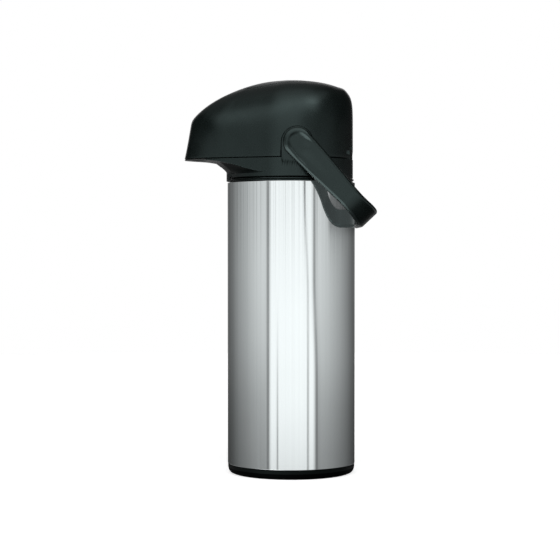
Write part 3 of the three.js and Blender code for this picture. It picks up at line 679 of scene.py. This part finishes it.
def pivot_ear(side):
    """Round-topped ear round a handle pivot; side is the sign of x."""
    ear = prism("ear", arch(PIV_Y, PIV_Z, 15.1, 297.5, 60),
                *sorted((side * 57.2, side * 62.4)), along_x=True)
    bevel(ear, 0.5)
    carve(ear, head_round(62.75, 280, 350, 240), "INTERSECT")
    # a thin flange behind the ear closes the running gap round it
    flange = prism("flange", arch(PIV_Y, PIV_Z, 17.0, 318, 60),
                   *sorted((side * 55.8, side * 57.5)), along_x=True)
    carve(flange, head_round(58.2, 280, 350, 240), "INTERSECT")
    carve(flange, turned_x("hole", cylinder(13, 50, 60), PIV_Y, PIV_Z, side))
    carve(ear, flange, "UNION")
    # below the parting the ear's face runs back into the collar
    trim = [(62.9, 311.9), (61.1, 305.5), (61.1, 280), (80, 280), (80, 311.9)]
    return carve(ear, turned("trim", trim, 240))


def nose_lug():
    """Bowed lug at the collar's foot, on the nose side."""
    # bearing from -Y in degrees, distance from the axis
    reach = pchip([(-22, 58), (-19, 61.0), (-13, 63.2), (-8, 64.4), (0, 64.6), (8, 64.4),
                   (13, 63.2), (19, 61.0), (22, 58)])
    polar = [(bearing, float(reach(bearing))) for bearing in np.linspace(-22, 22, 45)]
    polar += [(22, 52), (-22, 52)]
    outline = [(r * math.sin(math.radians(q)), -r * math.cos(math.radians(q)))
               for q, r in polar]
    lug = bevel(prism("lug", outline, 290.2, 299.0), 0.5, angle=60)
    return carve(lug, head_round(62.9, 280, 294.7, 160))


def head_collar():
    high, cavity_high = PART_Z - GAP, PART_Z + 1.5
    collar = ring_stack("collar", collar_rings(0, 0, COLLAR_Z0, high),
                        (0, 0, COLLAR_Z0), (0, 0, high))
    carve(collar, ring_stack("cavity", collar_rings(3, 2.6, CAVITY_Z0, cavity_high),
                             (0, 0, CAVITY_Z0), (0, 0, cavity_high)))
    carve(collar, head_round(46, 280, 330, 200))
    for side in (-1, 1):
        carve(collar, pivot_ear(side), "UNION")
    # hinge knuckles
    for x0, x1 in ((9.8, 21.8), (-21.8, -9.8)):
        knuckle = prism("knuckle", arch(HINGE_Y, HINGE_Z, 5.2, 298, 24), x0, x1, along_x=True)
        carve(knuckle, head_round(HEAD_R, 280, 350, 200), "INTERSECT")
        carve(collar, knuckle, "UNION")
    carve(collar, nose_lug(), "UNION")
    for x0, x1 in ((50, 75), (-75, -50)):
        carve(collar, turned_x("hole", cylinder(3.3, x0, x1), PIV_Y, PIV_Z))
    carve_bore(collar, 20.5)
    # latch window, nozzle hole and screw holes
    carve(collar, bevel(box("window", (-9.5, 9.5), (-85, -50), (299.6, 304.7)), 1.0))
    carve(collar, turned("hole", cylinder(8, 300, 325), 64, 0, NOZZLE_Y))
    carve_screws(collar, NECK_SCREWS, cylinder(2.0, 290, 306), 32)
    finish_piece(collar, HEAD, "body", "head_collar", angle=28, weighted=True)


def latch_button():
    latch = bevel(box("latch", (-9, 9), (-65.6, -56.6), (299.95, 304.25)), 0.9, segments=4)
    finish_piece(latch, NOZZLE, "latch", "latch_button", weighted=True)


def pins():
    profile = [(0, 55.2), (4.5, 55.2), (5, 55.7), (5, 56.5), (4.7, 56.8), (3, 56.8),
               (3, 63.4), (2.7, 63.7), (0, 63.7)]
    for side, label in ((1, "right"), (-1, "left")):
        pin = turned_x("pivot_" + label, profile, PIV_Y, PIV_Z, side)
        finish_piece(pin, FAST, "body", "handle_pivot_pin_" + label)
    half, chamfer = 19.6, 0.3
    tip = HINGE_R - chamfer
    profile = [(0, -half), (tip, -half), (HINGE_R, chamfer - half),
               (HINGE_R, half - chamfer), (tip, half), (0, half)]
    pin = turned_x("hinge_pin", profile, HINGE_Y, HINGE_Z, seg=40)
    finish_piece(pin, FAST, "body", "lid_hinge_pin")


# ---------------------------------------------------------------- hood and pad
def hood_shell():
    wall = 2.6
    outer, outer_pole = hood_rings(0, 0, HOOD_Z + 0.5)
    inner, inner_pole = hood_rings(wall, wall, HOOD_Z + 0.4)
    # lower rim: inset, rise
    rim = [plan_ring(plan_radius(PLAN) - inset, HOOD_Z + rise)
           for inset, rise in ((wall, 0.0), (0.5, 0.0), (0.15, 0.12))]
    hood = ring_stack("hood", [*inner[::-1], *rim, *outer], inner_pole, outer_pole)

    def outer_solid():
        return ring_stack("outer", [rim[1], *outer], (0, 0, HOOD_Z), outer_pole)

    # walled well for the pad
    well = prism("well", pad_outline(2.4), 350, 420)
    carve(well, outer_solid(), "INTERSECT")
    carve(hood, well, "UNION")
    carve(hood, prism("opening", pad_outline(0.6), 300, 430))
    # room for the collar's knuckles, and the hood's own knuckle between them
    carve(hood, box("room", (-22.4, 22.4), (48, 75), (300, 324.5)))
    outline = [(HINGE_Y + 5 * math.cos(q), HINGE_Z - 5 * math.sin(q))
               for q in np.linspace(0, math.pi, 25)]
    outline += [(51, 331), (61.7, 331), (61.7, 319.6), (61.0, 318.6)]
    knuckle = prism("knuckle", outline, -9.4, 9.4, along_x=True)
    carve(knuckle, outer_solid(), "INTERSECT")
    carve(hood, knuckle, "UNION")
    carve_bore(hood, 30)
    # ear slots, run out at the foot so that the hood can lift over the ears
    slot = arch(PIV_Y, PIV_Z, 15.6, 300, 60)
    slot[0] = (slot[0][0] - 1.5, 300)
    for x0, x1 in ((53, 80), (-80, -53)):
        carve(hood, prism("slot", slot, x0, x1, along_x=True))
    finish_piece(hood, HEAD, "hood", "hood_shell", angle=28, weighted=True)


def press_pad():
    """Flush with the crown, hollow below."""
    roof = 3.0
    scales = [0.08, 0.2, 0.33, 0.46, 0.58, 0.69, 0.78, 0.86, 0.92, 0.96]

    def on_crown(grow, dz, scale=1):
        x, y = pad_outline(grow, scale).T
        return np.stack([x, y, crown_z(x, y) + dz], 1)

    def level(grow, z):
        x, y = pad_outline(grow).T
        return np.stack([x, y, np.full(len(x), z)], 1)

    rings = [on_crown(0, 0, scale) for scale in scales]
    rings += [on_crown(*row) for row in ((-0.9, 0), (-0.5, -0.06), (-0.2, -0.28), (0, -0.8))]
    rings += [level(0, PAD_BOTTOM + 0.4), level(-0.4, PAD_BOTTOM),
              level(0.4 - PAD_WALL, PAD_BOTTOM), level(-PAD_WALL, PAD_BOTTOM + 0.4)]
    rings += [on_crown(-PAD_WALL, -roof - 0.6)]
    rings += [on_crown(-PAD_WALL, -roof, scale) for scale in scales[::-1]]
    top = float(crown_z(0.0, PAD_Y))
    pad = ring_stack("pad", rings, (0, PAD_Y, top), (0, PAD_Y, top - roof))
    finish_piece(pad, PAD, "pad", "press_pad", angle=40)


def press_plunger():
    profile = fillet([(0, 356.8, 0), (26.4, 356.8, 0.5), (26.4, 359.4, 0.5),
                      (9.4, 359.4, 1.5), (9.4, 384.4, 0.6), (0, 384.4, 0)])
    plunger = turned("plunger", profile, 96, 0, PUMP_Y)
    finish_piece(plunger, INNER, "pad", "press_plunger")


def squash_with_pad(ob):
    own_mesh(ob)


def bellows():
    folds, radius, depth, wall = 5, 21.5, 4.5, 1.3
    outer, inner = [], []
    for q in np.linspace(0, 1, folds * 10 + 1):
        z = PUMP_Z0 + q * (PUMP_Z1 - PUMP_Z0)
        wave = 0.5 - 0.5 * math.cos(2 * math.pi * q * folds)
        outer.append((radius + depth * wave, z))
        inner.append((radius - wall + depth * wave, z))
    ob = turned("bellows_fine", outer + inner[::-1], 96, 0, PUMP_Y)
    finish_piece(ob, DARK, "hood", "bellows", angle=60)
    squash_with_pad(ob)


def return_spring():
    turns, steps, radius, wire_r, end_gap = 5, 260, 15, 0.85, 1.2
    rings = []
    for q in np.arange(steps + 1) / steps:
        a = 2 * math.pi * turns * q
        z = PUMP_Z0 + end_gap + q * (PUMP_Z1 - PUMP_Z0 - 2 * end_gap)
        centre = np.array([radius * math.cos(a), PUMP_Y + radius * math.sin(a), z])
        outward = np.array([math.cos(a), math.sin(a), 0])
        up = np.array([0, 0, 1])
        rings.append(np.array([centre + wire_r * (math.cos(b) * outward + math.sin(b) * up)
                               for b in circle(12)]))
    spring = ring_stack("spring_fine", rings, rings[0].mean(0), rings[-1].mean(0))
    finish_piece(spring, FAST, "hood", "return_spring", angle=60)
    squash_with_pad(spring)


def spout_nozzle():
    profile = fillet([(5.1, 312.8, 0.4), (6.6, 312.8, 0.4), (7.0, 314, 0.5), (7.0, 325, 0.5),
                      (5.1, 325, 0.4)])
    finish_piece(turned("nozzle", profile, 64, 0, NOZZLE_Y), NOZZLE, "hood",
                 "spout_nozzle")


def spout_pipe():
    """Up from the middle, along to the nose and down into the nozzle; path is (y, z)."""
    run_z, bend_in, bend_out = 331, 10, 9

    def bend(start, corner, end):
        start, corner, end = (np.array(p, float) for p in (start, corner, end))
        return [(1 - q)**2 * start + 2 * q * (1 - q) * corner + q * q * end
                for q in np.linspace(0, 1, 13)[1:]]

    run_y0, run_y1 = TUBE_Y - bend_in, NOZZLE_Y + bend_out
    path = [(TUBE_Y, 312.7), (TUBE_Y, 317), (TUBE_Y, run_z - bend_in)]
    path += bend(path[-1], (TUBE_Y, run_z), (run_y0, run_z))
    path += [(y, run_z) for y in np.linspace(run_y0, run_y1, 8)[1:]]
    path += bend(path[-1], (NOZZLE_Y, run_z), (NOZZLE_Y, run_z - bend_out))
    path.append((NOZZLE_Y, 318))
    path = np.array(path, float)
    tangents = np.gradient(path, axis=0)
    tangents /= np.linalg.norm(tangents, axis=1)[:, None]

    def tube_rings(r):
        return [np.array([[r * math.cos(b), y - tz * r * math.sin(b), z + ty * r * math.sin(b)]
                          for b in circle(28)])
                for (y, z), (ty, tz) in zip(path, tangents)]

    pipe = ring_stack("pipe", tube_rings(4.4) + tube_rings(3.1)[::-1], closed=True)
    finish_piece(pipe, TUBE, "hood", "spout_pipe")


# ---------------------------------------------------------------- carry handle
# One bar: two arms, two bends and a cross bar, with rounded ends round the pivots.
# s runs along its path from the first pivot, u is the distance from the pivots' axis,
# v runs across the bar and is negative at its lower edge.
DROOP = math.radians(46.7)
ARM, BEND_R, ARM_X, END_R = 72.0, 28.5, 67.0, 14.0
BAR_U, BAR_HALF = ARM + BEND_R, ARM_X - BEND_R
BEND = BEND_R * math.pi / 2
BAR_START = ARM + BEND
PATH = 2 * ARM + 2 * BEND + 2 * BAR_HALF
# u, half width
BAR_WIDTH = pchip([(0, 14.0), (15, 13.6), (30, 13.0), (45, 12.1), (60, 11.1), (72, 10.5),
                   (80, 10.4), (88, 10.9), (95, 11.7), (100.5, 12.0), (120, 12.0)])
# distances of the mesh columns from the bar's ends and of its rows from the edges
END_STEPS = np.array([0.04, 0.15, 0.35, 0.65, 1.05, 1.5, 2.0, 2.6, 3.4, 4.4, 5.6, 7.0, 8.6,
                      10.2, 12.0, 13.9])
EDGE_STEPS = np.array([0, 0.03, 0.12, 0.28, 0.5, 0.8, 1.15, 1.55, 2.0, 2.5, 3.0, 3.5, 4.1,
                       4.8, 6.0, 7.6, 9.4])


def half_width(s):
    s = min(s, PATH - s)
    if s < 0:
        return math.sqrt(max(0.0, END_R**2 - s * s))
    if s < ARM:
        u = s
    elif s < BAR_START:
        u = ARM + BEND_R * math.sin((s - ARM) / BEND_R)
    else:
        u = BAR_U
    return float(BAR_WIDTH(u))


def along(s):
    """(x, u, outward normal x, outward normal u, thickness) at s."""
    flip = 1
    if s > PATH / 2:
        s, flip = PATH - s, -1
    if s < ARM:
        x, u, nx, nu = ARM_X, s, 1.0, 0.0
    elif s < BAR_START:
        q = (s - ARM) / BEND_R
        nx, nu = math.cos(q), math.sin(q)
        x, u = BAR_HALF + BEND_R * nx, ARM + BEND_R * nu
    else:
        x, u, nx, nu = BAR_HALF - (s - ARM - BEND), BAR_U, 0.0, 1.0
    return flip * x, u, flip * nx, nu, 6.0 - float(smoothstep(ARM, BAR_START, s))


def edge_round(d, r, thickness):
    """Height of a face with edge radius r, at distance d from the edge."""
    return thickness / 2 - r + (math.sqrt(max(0.0, r * r - (r - d) ** 2)) if d < r else r)


def face_height(s, v, side):
    """Distance of the face from the bar's middle; side +1 outer, -1 inner."""
    thickness = along(s)[-1]
    q = min(s, PATH - s)
    d = max(0.0, END_R - math.hypot(q, v) if q < 0 else half_width(s) - abs(v))
    if side < 0:
        return edge_round(d, 1.6, thickness)
    # the lower edge and the pivot end carry a sloping band, the upper edge a plain round
    slim = 1 - 0.36 * float(smoothstep(-4, 14, q))
    t = d / (4.2 * slim)
    slope = 1 - t if t < 0.8 else ((1.2 - t) ** 2 / 0.8 if t < 1.2 else 0.0)
    banded = edge_round(d, 1.2, thickness) - 1.9 * slim * slope
    band = 1.0 if v < 0 else 1 - float(smoothstep(-7, 5, q))
    height = band * banded + (1 - band) * edge_round(d, 3.4, thickness)
    # scoop: steep wall round the pivot end, running out along the arm
    scoop = float(smoothstep(3.6 * slim, 3.6 * slim + 3.2, d))
    return height - 1.6 * scoop * (1 - float(smoothstep(2, 52 if v < 0 else 14, q)))


def handle_point(s, v, side):
    """Model point of a face, the handle swung down by DROOP towards +Y."""
    height = side * face_height(s, v, side)
    x, u, nx, nu, _ = along(s)
    u = u + nu * height
    c, sn = math.cos(DROOP), math.sin(DROOP)
    return (x + nx * height, PIV_Y + u * c + v * sn, PIV_Z - u * sn + v * c)


def carry_handle():
    ends = END_STEPS - END_R
    middle = np.concatenate([np.linspace(0.4, ARM, 46), ARM + np.linspace(0, BEND, 26)[1:],
                             BAR_START + np.linspace(0, BAR_HALF, 16)[1:]])
    stations = np.concatenate([ends, middle, (PATH - middle[:-1])[::-1], (PATH - ends)[::-1]])
    columns = []
    for s in map(float, stations):
        w = half_width(s)
        squeeze = min(1.0, w / 9.6)
        across = ([-(w - e * squeeze) for e in EDGE_STEPS] + [0.0]
                  + [w - e * squeeze for e in EDGE_STEPS[::-1]])
        columns.append([(s, v) for v in across])
    verts = [handle_point(s, v, side) for side in (1, -1) for col in columns for s, v in col]
    size, count = len(columns[0]), len(columns)
    inner = count * size  # index of the inner face's first point
    faces = []
    for i in range(count - 1):
        for j in range(size - 1):
            a, b = i * size + j, (i + 1) * size + j
            faces += [(a, b, b + 1, a + 1), (inner + a, inner + a + 1, inner + b + 1, inner + b)]
        a, b = i * size, (i + 1) * size
        faces.append((a, inner + a, inner + b, b))
        a, b = a + size - 1, b + size - 1
        faces.append((a, b, inner + b, inner + a))
    # close each end on a point of either face
    for i, s in ((0, -END_R), (count - 1, PATH + END_R)):
        top, bottom = len(verts), len(verts) + 1
        verts += [handle_point(s, 0.0, 1), handle_point(s, 0.0, -1)]
        first, last = i * size, i * size + size - 1
        for a in range(first, last):
            faces += [(top, a, a + 1), (bottom, inner + a + 1, inner + a)]
        faces += [(top, bottom, inner + a, a) for a in (first, last)]
    handle = make("carry_handle", verts, faces)
    finish_piece(handle, HANDLE, "handle", "handle", angle=50)


# ---------------------------------------------------------------- the pieces
for build in (steel_jacket, base_ring, base_plate, neck_ring, head_collar, latch_button, pins,
              hood_shell, press_pad, press_plunger, bellows, return_spring, spout_nozzle,
              spout_pipe, carry_handle):
    build()

# pieces kept from the CAD; those not listed are fastener steel
KEEP = {"liner_cushion": DARK, "vacuum_liner": GLASS, "mouth_gasket": GREY,
        "stopper_plug": INNER, "stopper_cover": INNER, "stopper_seal": GREY,
        "dip_tube": TUBE, "outlet_seal": GREY, "hood_inner_plate": INNER}
for node_name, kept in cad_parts.items():
    if not kept.hide_render:
        dress(kept, KEEP.get(node_name, FAST), 35)

# ---------------------------------------------------------------- floor
scene.view_settings.view_transform = "Standard"
scene.view_settings.look = "None"


def floor_material():
    m = Mat("floor_pale")
    m.put("Base Color", (0.80, 0.80, 0.80))
    m.put("Roughness", 0.9)
    m.put("Specular IOR Level", 0.1)
    m.put("Emission Color", (1, 1, 1))
    m.put("Emission Strength", 0.70)
    # the floor keeps out of reflections, and gives only a little light back from below
    rays = m.node("ShaderNodeLightPath").outputs
    dim = m.node("ShaderNodeBsdfDiffuse")
    m.feed(dim.inputs["Color"], (0.12, 0.12, 0.12))
    clear = m.node("ShaderNodeBsdfTransparent")
    seen = m.mix_shader(rays["Is Diffuse Ray"], m.shader.outputs[0], dim.outputs[0])
    surface = m.mix_shader(rays["Is Glossy Ray"], seen, clear.outputs[0])
    m.feed(m.tree.nodes["Material Output"].inputs["Surface"], surface)
    return m


FLOOR_R, FLOOR_Z = 1800, -0.02
floor = make("floor", [(FLOOR_R * math.cos(q), FLOOR_R * math.sin(q), FLOOR_Z)
                       for q in circle(96)], [tuple(range(96))])
floor.data.materials.append(floor_material().data)

# ---------------------------------------------------------------- surroundings
world = bpy.data.worlds.new("studio")
scene.world = world
world.use_nodes = True
world.node_tree.nodes.clear()
sky = Nodes(world.node_tree)


def table(value, low, high, rows):
    """A piecewise-linear function; rows are (position, value), halved on the ramp."""
    node = sky.node("ShaderNodeValToRGB")
    sky.feed(node.inputs["Fac"], sky.remap(value, low, high))
    stops = node.color_ramp.elements
    while len(stops) > 1:
        stops.remove(stops[-1])
    for i, (place, level) in enumerate(rows):
        position = (place - low) / (high - low)
        if i == 0:
            stops[0].position = position
        stop = stops[0] if i == 0 else stops.new(position)
        stop.color = (level / 2,) * 3 + (1,)
    split = sky.node("ShaderNodeSeparateColor")
    sky.feed(split.inputs[0], node.outputs["Color"])
    return sky.times(split.outputs[0], 2.0)


def degrees(operation, *terms):
    return sky.times(sky.math(operation, *terms), 180 / math.pi)


direction = sky.node("ShaderNodeSeparateXYZ")
sky.feed(direction.inputs[0], sky.node("ShaderNodeTexCoord").outputs["Generated"])
dx, dy, dz = direction.outputs
azimuth = degrees("ARCTAN2", dy, dx)   # 0 towards +X, the camera's side
sideways = degrees("ARCSINE", dy)      # -90 at -Y, the camera's left; 90 at +Y
pitch = degrees("ARCTAN2", dz, dx)     # 0 towards +X, 90 above, 180 towards -X


def notch(light, centre, width, depth):
    """Darkens the light by depth in a band of azimuth."""
    off = sky.math("ABSOLUTE", sky.math("SUBTRACT", azimuth, centre))
    return sky.times(light, sky.inverse(sky.times(sky.ease(off, 0, width, 1, 0), depth)))


def wall_light():
    """A ring of walls at the height of the object: this is what the steel mirrors."""
    # the +Y side of the pattern shifts below the horizon
    shift = sky.times(sky.ease(dz, -0.08, -0.02, 4.5, 0), sky.ease(azimuth, 32, 38))
    ring = table(sky.math("SUBTRACT", azimuth, shift), -180, 180, [
        (-180, 0.50), (-163, 0.16), (-150, 0.13), (-130, 0.20), (-108, 0.37), (-91, 0.47),
        (-70, 0.65), (-52, 0.76), (-46, 0.72), (-44, 0.34), (-41, 0.30), (-39, 0.95),
        (-36, 1.16), (20, 1.18), (34, 1.18), (37.5, 1.0), (40, 0.42), (42.5, 0.36),
        (45, 0.70), (52, 0.76), (68, 0.66), (98, 0.43), (127, 0.22), (145, 0.13),
        (163, 0.14), (180, 0.50)])
    # two narrow dark lines, the second slanting
    low = sky.ease(dz, -0.13, -0.02, 1, 0)
    ring = notch(ring, centre=-24.9, width=2.6, depth=sky.times(low, 0.62))
    ring = notch(ring, centre=sky.ease(dz, -0.03, 0.03, 29.7, 23.6), width=3.2,
                 depth=sky.plus(sky.ease(dz, 0.0, 0.035, 0.42, 0.85), sky.times(low, 0.2)))
    # dark card above the horizon, beyond azimuth 64
    card = sky.times(sky.ease(azimuth, 64, 76), sky.ease(dz, 0.004, 0.014, end=0.72))
    ring = sky.times(ring, sky.inverse(card))
    # falls off downwards, faster away from +X
    side = sky.ease(sky.math("ABSOLUTE", azimuth), 37, 50)
    fade_side = table(dz, -0.16, 0.04, [
        (-0.15, 0.38), (-0.134, 0.43), (-0.12, 0.50), (-0.10, 0.60), (-0.065, 0.86),
        (-0.03, 1.0), (0.0, 1.05), (0.04, 1.05)])
    fade_mid = table(dz, -0.16, 0.04, [
        (-0.15, 0.66), (-0.134, 0.82), (-0.12, 0.90), (-0.10, 0.98), (-0.065, 1.02),
        (0.04, 0.98)])
    fade = sky.plus(sky.times(sky.inverse(side), fade_mid), sky.times(side, fade_side))
    ring = sky.times(ring, fade)
    # upright streaks
    streak = sky.node("ShaderNodeTexNoise", noise_dimensions="1D")
    sky.feed(streak.inputs["W"], azimuth)
    sky.feed(streak.inputs["Scale"], 0.33)
    sky.feed(streak.inputs["Detail"], 5)
    depth = sky.times(sky.ease(streak.outputs["Fac"], 0.42, 0.68),
                      sky.ease(dz, -0.03, 0.035, 0.05, 0.26))
    return sky.times(ring, sky.inverse(depth))


# upper surroundings in five strips from -Y to +Y:
# (sideways, weight) rows, then (pitch, light) rows
UPPER_STRIPS = [
    ([(-90, 1), (-51, 1), (-45.3, 0), (90, 0)],
     [(-180, 0.03), (-150, 0.03), (-90, 0.02), (-10, 0.3), (0, 0.42), (18, 0.40), (22, 0.28),
      (27, 0.14), (40, 0.05), (90, 0.02), (150, 0.02), (180, 0.03)]),
    ([(-51, 0), (-45.3, 1), (-36, 1), (-23, 0)],
     [(-180, 0.05), (-150, 0.04), (-90, 0.02), (-10, 0.5), (0, 0.54), (20, 0.60), (30, 0.70),
      (37, 1.0), (46, 1.45), (56, 1.0), (67, 0.52), (77, 0.24), (89, 0.12), (112, 0.20),
      (131, 0.16), (150, 0.05), (180, 0.05)]),
    ([(-36, 0), (-23, 1), (8, 1), (22, 0)],
     [(-180, 1.0), (-150, 0.04), (-90, 0.02), (-10, 0.5), (0, 0.55), (5, 0.66), (12, 0.92),
      (23, 1.06), (31, 1.08), (39, 1.55), (47, 1.75), (57, 1.35), (67, 0.92), (77, 0.72),
      (89, 0.50), (101, 0.25), (115, 0.20), (131, 0.18), (145, 0.40), (160, 0.9),
      (180, 1.0)]),
    ([(8, 0), (22, 1), (33, 1), (43, 0)],
     [(-180, 0.03), (-150, 0.04), (-90, 0.02), (-10, 0.35), (0, 0.38), (17, 0.42),
      (27, 0.50), (33, 0.50), (39, 0.7), (44, 2.0), (50, 2.9), (57, 2.3), (67, 1.25),
      (77, 0.70), (89, 0.35), (101, 0.12), (115, 0.06), (150, 0.03), (180, 0.03)]),
    ([(33, 0), (43, 1), (90, 1)],
     [(-180, 0.02), (-90, 0.02), (-10, 0.2), (0, 0.27), (25, 0.27), (40, 0.22), (60, 0.12),
      (90, 0.05), (150, 0.02), (180, 0.02)])]


def upper_light():
    total = None
    for weights, lights in UPPER_STRIPS:
        part = sky.times(table(sideways, -90, 90, weights), table(pitch, -180, 180, lights))
        total = part if total is None else sky.plus(total, part)
    return total


def lower_light():
    """Mirrored by the steel when it is looked at from above."""
    # a low glow towards +X and -Y
    glow = sky.times(sky.times(sky.ease(dz, -0.18, -0.30), sky.ease(dx, 0.15, 0.40)),
                     sky.times(sky.ease(dy, -0.12, -0.36), 2.9))
    ring = table(azimuth, -180, 180, [
        (-180, 0.85), (-168, 0.80), (-163, 0.30), (-157, 0.26), (-153, 0.75), (-135, 0.80),
        (-118, 0.55), (-95, 0.42), (-70, 0.62), (-52, 0.74), (-46, 0.70), (-44, 0.34),
        (-41, 0.30), (-39, 0.86), (-36, 0.98), (34, 0.98), (37.5, 0.9), (40, 0.42),
        (42.5, 0.36), (45, 0.70), (68, 0.62), (95, 0.42), (118, 0.55), (135, 0.80),
        (153, 0.75), (157, 0.26), (163, 0.30), (168, 0.80), (180, 0.85)])
    ring = sky.times(ring, table(dz, -1, 0, [
        (-1, 0.25), (-0.8, 0.35), (-0.5, 0.60), (-0.2, 0.80), (0, 0.85)]))
    # darker towards +Y
    shade = sky.times(sky.ease(dy, 0.22, 0.45, end=0.88), sky.ease(dz, -0.34, -0.46))
    return sky.plus(glow, sky.times(ring, sky.inverse(shade)))


above = sky.ease(dz, 0.045, 0.075)
below = sky.ease(dz, -0.15, -0.19)
between = sky.times(sky.inverse(above), sky.inverse(below))
studio_light = sky.plus(
    sky.times(between, wall_light()),
    sky.plus(sky.times(above, upper_light()), sky.times(below, lower_light())))
studio = sky.node("ShaderNodeBackground")
sky.feed(studio.inputs["Color"], studio_light)
# the camera itself sees plain white
white = sky.node("ShaderNodeBackground")
sky.feed(white.inputs["Color"], (1, 1, 1))
camera_ray = sky.node("ShaderNodeLightPath").outputs["Is Camera Ray"]
sky.feed(sky.node("ShaderNodeOutputWorld").inputs[0],
         sky.mix_shader(camera_ray, studio.outputs[0], white.outputs[0]))

# ---------------------------------------------------------------- camera
CAMERA_AT = (1620, -11.2, 227)
CAMERA_DROP = 35  # fall of the line of sight on its way to x = 0
lens = bpy.data.cameras.new("camera")
lens.lens, lens.sensor_width = 104.14, 36.0
lens.clip_end = 20
camera = bpy.data.objects.new("camera", lens)
scene.collection.objects.link(camera)
camera.location = [c * MM for c in CAMERA_AT]
tilt = math.atan(CAMERA_DROP / CAMERA_AT[0])
sight = Vector((-math.cos(tilt), 0, -math.sin(tilt)))
camera.rotation_euler = sight.to_track_quat("-Z", "Y").to_euler()
scene.camera = camera
